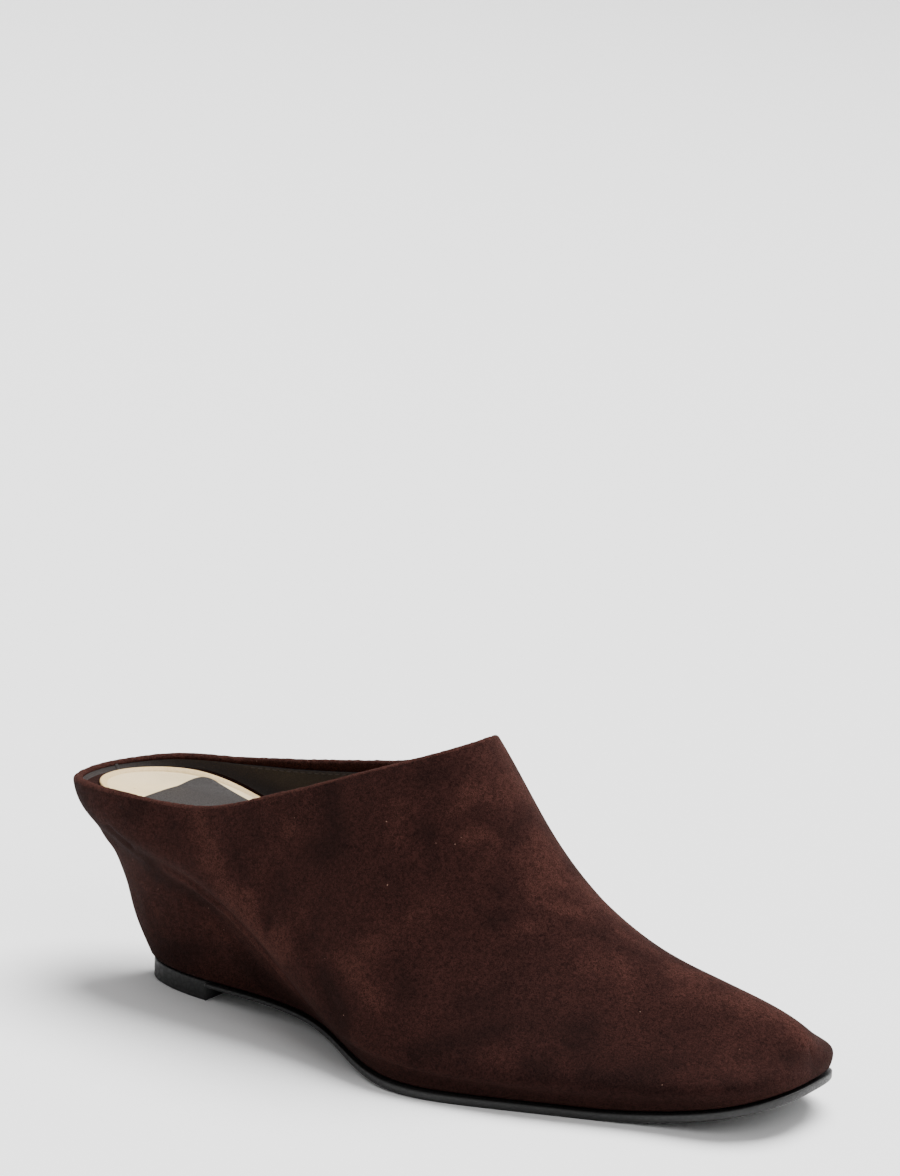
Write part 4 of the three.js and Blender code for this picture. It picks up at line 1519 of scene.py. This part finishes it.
def edge_rings(low, high, radius, steps=4, insets=()):
    """Rings of a plate with rounded edges: quarter circles at its lower and upper edge, and rings
    further in on both sides at the insets."""

    def lower(a):
        return radius * (1 - math.sin(a)), lambda x, i: low(x, i) + radius * (1 - math.cos(a))

    def upper(a):
        return radius * (1 - math.cos(a)), lambda x, i: high(x, i) - radius * (1 - math.sin(a))

    turn = np.linspace(0, math.pi / 2, steps + 1)
    under = [(inset, low) for inset in insets[::-1]]
    edge = [lower(a) for a in turn] + [upper(a) for a in turn]
    return under + edge + [(inset, high) for inset in insets]


# How much lower the suede lies round the pad than under it, in millimetres, how far in from the edge
# that starts to end, and how far under the pad it does
MARGIN_DIP = 1.1
DIP_START = 1.5
DIP_PAST = 1

# The width along the footbed's edge that is turned up to the full height
CUP_RIM = 1

# Places along the outlines of the footbed, of the patch and of the sole
FOOTBED_PLACES = 220
PATCH_PLACES = 61
SOLE_PLACES = 320

# The suede cover's gap to the lining, thickness, edge radius and rings from the edge inwards
COVER_GAP = 0.05
COVER_THICKNESS = 3
COVER_ROUND = 0.3
COVER_INSETS = (2.0, 3.5, 5.0, 6.5, 8.0, 10.0, 12.0, 14.0)

# The pad's gap to the cover, edge radius and rings from the edge inwards, close together at its seam
PAD_GAP = 0.05
PAD_ROUND = 0.75
PAD_INSETS = (1.2, 1.6, 1.9, 2.1, 2.2, 2.3, 2.5, 2.8, 3.5, 5.0, 6.5, 8.0, 10.0)

# The bare patch's film: thickness, gap to the pad, steps round its edge, and rings drawn towards its
# middle line
PATCH_FILM = 0.4
PATCH_GAP = 0.02
PATCH_EDGE_STEPS = 3
PATCH_ACROSS = (0.08, 0.18, 0.3, 0.44, 0.6, 0.78, 0.94)

# The pad's sewn border and the seam inside it, in millimetres
BORDER_WIDTH = 2.2
GROOVE_WIDTH = 0.25
GROOVE_DEPTH = 0.12


class MULE_OT_footbed(bpy.types.Operator):
    """Make the suede insole cover, the leather heel pad and the bare patch on it"""

    bl_idname = "mule.make_footbed"
    bl_label = "Footbed"

    def execute(self, context):
        sizes = context.scene.mule_footbed
        inset = context.scene.mule_lining.inner / MM + COVER_GAP
        margin = sizes.margin / MM
        cup_height = sizes.cup / MM
        cup_width = sizes.cup_width / MM
        along = dense_places(FOOTBED_PLACES)

        def raised(x, distance):
            """Height of the footbed at x and at a distance in from its edge."""
            return footbed(x) + cup_height * cup_share(x) * (1 - smoothstep(distance, CUP_RIM, cup_width))

        def edge_line(at):
            return footbed_line(at, cup_height)

        cover_rows = plan_edge(edge_line, along, -inset)
        pad_rows = plan_edge(edge_line, along, -inset - margin)
        self.cover(context.scene.mule_suede, cover_rows, raised, margin)
        self.pad(sizes, pad_rows, raised, margin)
        self.patch(sizes, np.concatenate([cover_rows[:, 0], cover_rows[:, 1]]), raised)
        return {"FINISHED"}

    @staticmethod
    def cover(suede, rows, raised, margin):
        """The insole's suede cover, which lies a little lower round the pad."""

        def sunk(x, distance):
            dip = MARGIN_DIP * (1 - smoothstep(distance, DIP_START, margin + DIP_PAST))
            return raised(x, distance) - dip

        def below(x, distance):
            return raised(x, distance) - COVER_THICKNESS

        points, faces = slab(rows, edge_rings(below, sunk, COVER_ROUND, insets=COVER_INSETS))
        colors = [shade(color, 0.85) for color in (suede.dark, suede.middle, suede.light)]
        material = suede_material("Insole suede", colors, contrast=0.7, marked=False)
        made, _ = make_mesh("insole_cover", points, faces, material)
        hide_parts("insole")
        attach(made, "root")

    @staticmethod
    def pad(sizes, rows, raised, margin):
        """The leather heel pad, with a seam pressed in along its border."""

        def top(x, distance):
            seam = GROOVE_DEPTH * np.exp(-(((distance - BORDER_WIDTH) / GROOVE_WIDTH) ** 2))
            return raised(x, distance + margin) + SOCK_THICKNESS - seam

        def below(x, distance):
            return raised(x, distance + margin) + PAD_GAP

        rings = edge_rings(below, top, PAD_ROUND, insets=PAD_INSETS)
        points, faces = slab(rows, rings)
        made, used = make_mesh("heel_pad", points, faces, pad_material(sizes.pad))
        insets = np.repeat([inset for inset, _ in rings], len(points) // len(rings))
        border = 1 - smoothstep(insets, BORDER_WIDTH - GROOVE_WIDTH, BORDER_WIDTH + GROOVE_WIDTH)
        add_attribute(made, "border", border[used])
        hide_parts("sock")
        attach(made, "root")

    @staticmethod
    def patch(sizes, cover_edge, raised):
        """The bare patch's film, with round ends, laid on the pad."""
        x = PATCH_START + PATCH_LENGTH * (1 - np.cos(half_turn(PATCH_PLACES))) / 2
        centre = column(HEIGHTS, "swing", x / SOLE_LENGTH) * BALL_WIDTH
        from_end = np.minimum(x - PATCH_START, PATCH_START + PATCH_LENGTH - x)
        half = PATCH_WIDTH / 2 * round_end(from_end, PATCH_ROUND, TOE_EXPONENT)
        rows = np.stack([np.stack([x, centre - half], 1), np.stack([x, centre + half], 1)], 1)
        film = edge_rings(level_at(0), level_at(PATCH_FILM), PATCH_FILM / 2, PATCH_EDGE_STEPS)
        points, faces = slab(rows, film, PATCH_ACROSS)
        reach = np.linalg.norm(points[:, None, :2] - cover_edge[None], axis=2).min(axis=1)
        points[:, 2] += raised(points[:, 0], reach) + SOCK_THICKNESS + PATCH_GAP
        leather = leather_material(
            "Grey patch film",
            sizes.patch,
            roughness=0.55,
            grain=1500.0,
            bump=0.12,
            patch_contrast=0.6,
            shine=0.15,
        )
        made, _ = make_mesh("bare_patch", points, faces, leather)
        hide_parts("sock_patch")
        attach(made, "root")


# How much thinner the outsole is under the waist, and the x from which it gets thicker again
WAIST_SKIVING = 1.15
SKIVING_END = LIFT_LENGTH + 18


def skived_tread(x, inset):
    """The underside of the outsole, which is skived thinner under the waist, in front of the lift."""
    waist = 1 - smoothstep(x, SKIVING_END, FLAT_START_SHARE * SOLE_LENGTH)
    return tread(x) + WAIST_SKIVING * waist


# Colour of the wedge's board, which the suede hides
WEDGE_BOARD = (0.52, 0.42, 0.31)


class MULE_OT_sole(bpy.types.Operator):
    """Make the outsole and the top lift with rounded edges, and finish the hidden wedge"""

    bl_idname = "mule.make_sole"
    bl_label = "Sole and top lift"

    def execute(self, context):
        sizes = context.scene.mule_sole
        edge = sizes.edge / MM
        along = dense_places(SOLE_PLACES)
        rows = cut_rows(plan_edge(foot_line, along, SOLE_LIP), LIFT_LENGTH + FIT_GAP, 2 * SOLE_LENGTH)
        rings = edge_rings(skived_tread, lambda x, i: tread(x) + SOLE_THICKNESS, edge)
        points, faces = slab(rows, rings)
        leather = leather_material(
            "Black sole leather", sizes.sole, roughness=0.42, grain=700.0, bump=0.12
        )
        made, _ = make_mesh("sole", points, faces, leather)
        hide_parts("outsole")
        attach(made, "root")

        rows = cut_rows(plan_edge(foot_line, along, -LIFT_INSET), -2 * SOLE_LENGTH, LIFT_LENGTH)
        points, faces = slab(rows, edge_rings(level_at(0), level_at(LIFT_THICKNESS), edge))
        rubber = leather_material(
            "Black top lift rubber", sizes.lift, roughness=0.5, grain=500.0, bump=0.1
        )
        made, _ = make_mesh("heel_lift", points, faces, rubber)
        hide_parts("top_lift")
        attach(made, "root")

        board = leather_material(
            "Wedge board", WEDGE_BOARD, roughness=0.85, grain=350.0, bump=0.5, patch_contrast=1.0
        )
        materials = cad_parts["wedge"].data.materials
        materials.clear()
        materials.append(board)
        return {"FINISHED"}


# The camera's place and the direction of its view in the frame, which keep the photograph's angle
CAMERA_PLACE = (0.63975, -1.01811, 0.41348)
CAMERA_TURN = 31.975
CAMERA_TILT = 13.251
CAMERA_ROLL = 2.361

# The distances in metres that the camera sees between
CLIP_NEAR = 0.05
CLIP_FAR = 50

# The direction that the light above comes from
LIGHT_FROM = (0.08, 0.68, 1.6)

# The light in front: its width, its place and the point that it faces, in metres
FILL_SIZE = 1.2
FILL_PLACE = (1.5, -0.7, 1.3)
FILL_TARGET = (0.0, 0.0, 0.03)

# The floor in metres: where it starts, where it turns up behind the shoe, the turn's radius, the top
# and the half width, and the steps of the turn
FLOOR_FRONT = -5.0
FLOOR_REACH = 4.0
FLOOR_RADIUS = 1.5
FLOOR_TOP = 5.0
FLOOR_HALF = 8
FLOOR_STEPS = 16


class MULE_OT_stage(bpy.types.Operator):
    """Make the pale floor, the soft lights and the camera"""

    bl_idname = "mule.make_stage"
    bl_label = "Studio"

    def execute(self, context):
        sizes = context.scene.mule_stage
        self.floor(sizes)
        self.sun(sizes)
        self.fill(sizes)
        world = bpy.data.worlds.new("Studio")
        context.scene.world = world
        world.use_nodes = True
        background = world.node_tree.nodes["Background"]
        background.inputs["Color"].default_value = (1, 1, 1, 1)
        background.inputs["Strength"].default_value = sizes.sky
        self.camera(sizes, context.scene)
        return {"FINISHED"}

    @staticmethod
    def floor(sizes):
        """A level floor that turns up behind the shoe in a quarter circle, its profile carried
        straight across."""
        turn = np.linspace(0, math.pi / 2, FLOOR_STEPS + 1)
        bend = np.stack([FLOOR_REACH + FLOOR_RADIUS * np.sin(turn), FLOOR_RADIUS * (1 - np.cos(turn))], 1)
        top = (FLOOR_REACH + FLOOR_RADIUS, FLOOR_TOP)
        profile = np.concatenate([[(FLOOR_FRONT, 0.0)], bend, [top]])
        across = np.linspace(-FLOOR_HALF, FLOOR_HALF, 5)
        y = np.broadcast_to(profile[:, 0], (len(across), len(profile)))
        z = np.broadcast_to(profile[:, 1], y.shape)
        x = np.broadcast_to(across[:, None], y.shape)
        points = np.stack([x, y, z], -1).reshape(-1, 3) / MM - LAST_ORIGIN
        paper, tree, shader, place = new_material("Pale paper")
        tooth = noise(tree, place, 300.0, detail=3.0)
        tone = mix_colors(tree, tooth, linear(shade(sizes.floor, 0.99)), linear(sizes.floor))
        finish(tree, shader, {"Base Color": tone, "Roughness": 0.8, "Specular IOR Level": 0.1})
        floor, _ = make_mesh("floor", points, [strip_faces(number(x.shape), closed=False)], paper)

    @staticmethod
    def hang(data, place, comes_from):
        """A lamp at a place whose light comes from a direction."""
        lamp = bpy.data.objects.new(data.name, data)
        bpy.context.scene.collection.objects.link(lamp)
        lamp.location = place
        lamp.rotation_mode = "QUATERNION"
        lamp.rotation_quaternion = comes_from.to_track_quat("Z", "Y")

    @classmethod
    def sun(cls, sizes):
        """A wide soft light from above, behind and right of the shoe as the camera sees it."""
        data = bpy.data.lights.new("Soft light above", "SUN")
        data.energy = sizes.key
        data.angle = sizes.softness
        cls.hang(data, (0, 0, 0), Vector(LIGHT_FROM))

    @classmethod
    def fill(cls, sizes):
        """A square light in front that faces the shoe."""
        data = bpy.data.lights.new("Fill light", "AREA")
        data.shape = "SQUARE"
        data.size = FILL_SIZE
        data.energy = sizes.fill
        cls.hang(data, FILL_PLACE, Vector(FILL_PLACE) - Vector(FILL_TARGET))

    @staticmethod
    def camera(sizes, scene):
        """The photograph's view: turned about the upright, tilted down, then rolled."""
        data = bpy.data.cameras.new("Camera")
        data.sensor_width = 36
        data.lens = sizes.lens
        data.clip_start = CLIP_NEAR
        data.clip_end = CLIP_FAR
        camera = bpy.data.objects.new("Camera", data)
        scene.collection.objects.link(camera)
        turn, tilt, roll = (math.radians(a) for a in (CAMERA_TURN, CAMERA_TILT, CAMERA_ROLL))
        level = math.cos(tilt)
        forward = Vector((-math.sin(turn) * level, math.cos(turn) * level, -math.sin(tilt)))
        right = forward.cross(Vector((0, 0, 1))).normalized()
        up = right.cross(forward)
        rolled_right = right * math.cos(roll) + up * math.sin(roll)
        rolled_up = up * math.cos(roll) - right * math.sin(roll)
        axes = Matrix((rolled_right, rolled_up, -forward)).transposed()
        camera.matrix_world = Matrix.Translation(CAMERA_PLACE) @ axes.to_4x4()
        scene.camera = camera


class MULE_PT_panel(bpy.types.Panel):
    """Lists the sizes and colours, and the steps that make the pieces"""

    bl_label = "Heeled mule"
    bl_idname = "MULE_PT_panel"
    bl_space_type = "VIEW_3D"
    bl_region_type = "UI"
    bl_category = "Mule"

    def draw(self, context):
        for settings, operator in STEPS:
            box = self.layout.box()
            group = getattr(context.scene, settings)
            for name in group.bl_rna.properties.keys():
                if name not in ("rna_type", "name"):
                    box.prop(group, name)
            box.operator(operator)


STEPS = (
    ("mule_suede", "mule.make_upper"),
    ("mule_lining", "mule.make_lining"),
    ("mule_footbed", "mule.make_footbed"),
    ("mule_sole", "mule.make_sole"),
    ("mule_stage", "mule.make_stage"),
)
SETTINGS = {
    "mule_suede": MuleSuede,
    "mule_lining": MuleLining,
    "mule_footbed": MuleFootbed,
    "mule_sole": MuleSole,
    "mule_stage": MuleStage,
}
CLASSES = (
    *SETTINGS.values(),
    MULE_OT_upper,
    MULE_OT_lining,
    MULE_OT_footbed,
    MULE_OT_sole,
    MULE_OT_stage,
    MULE_PT_panel,
)


def register():
    """Adds the classes to Blender and their settings to the scene."""
    for made in CLASSES:
        bpy.utils.register_class(made)
    for name, settings in SETTINGS.items():
        setattr(bpy.types.Scene, name, PointerProperty(type=settings))


def unregister():
    """Takes the settings and the classes away again."""
    for name in SETTINGS:
        delattr(bpy.types.Scene, name)
    for made in reversed(CLASSES):
        bpy.utils.unregister_class(made)


def main():
    """Makes every piece in order."""
    register()
    bpy.ops.mule.make_upper()
    bpy.ops.mule.make_lining()
    bpy.ops.mule.make_footbed()
    bpy.ops.mule.make_sole()
    bpy.ops.mule.make_stage()
    bpy.context.view_layer.update()


if __name__ == "__main__":
    main()
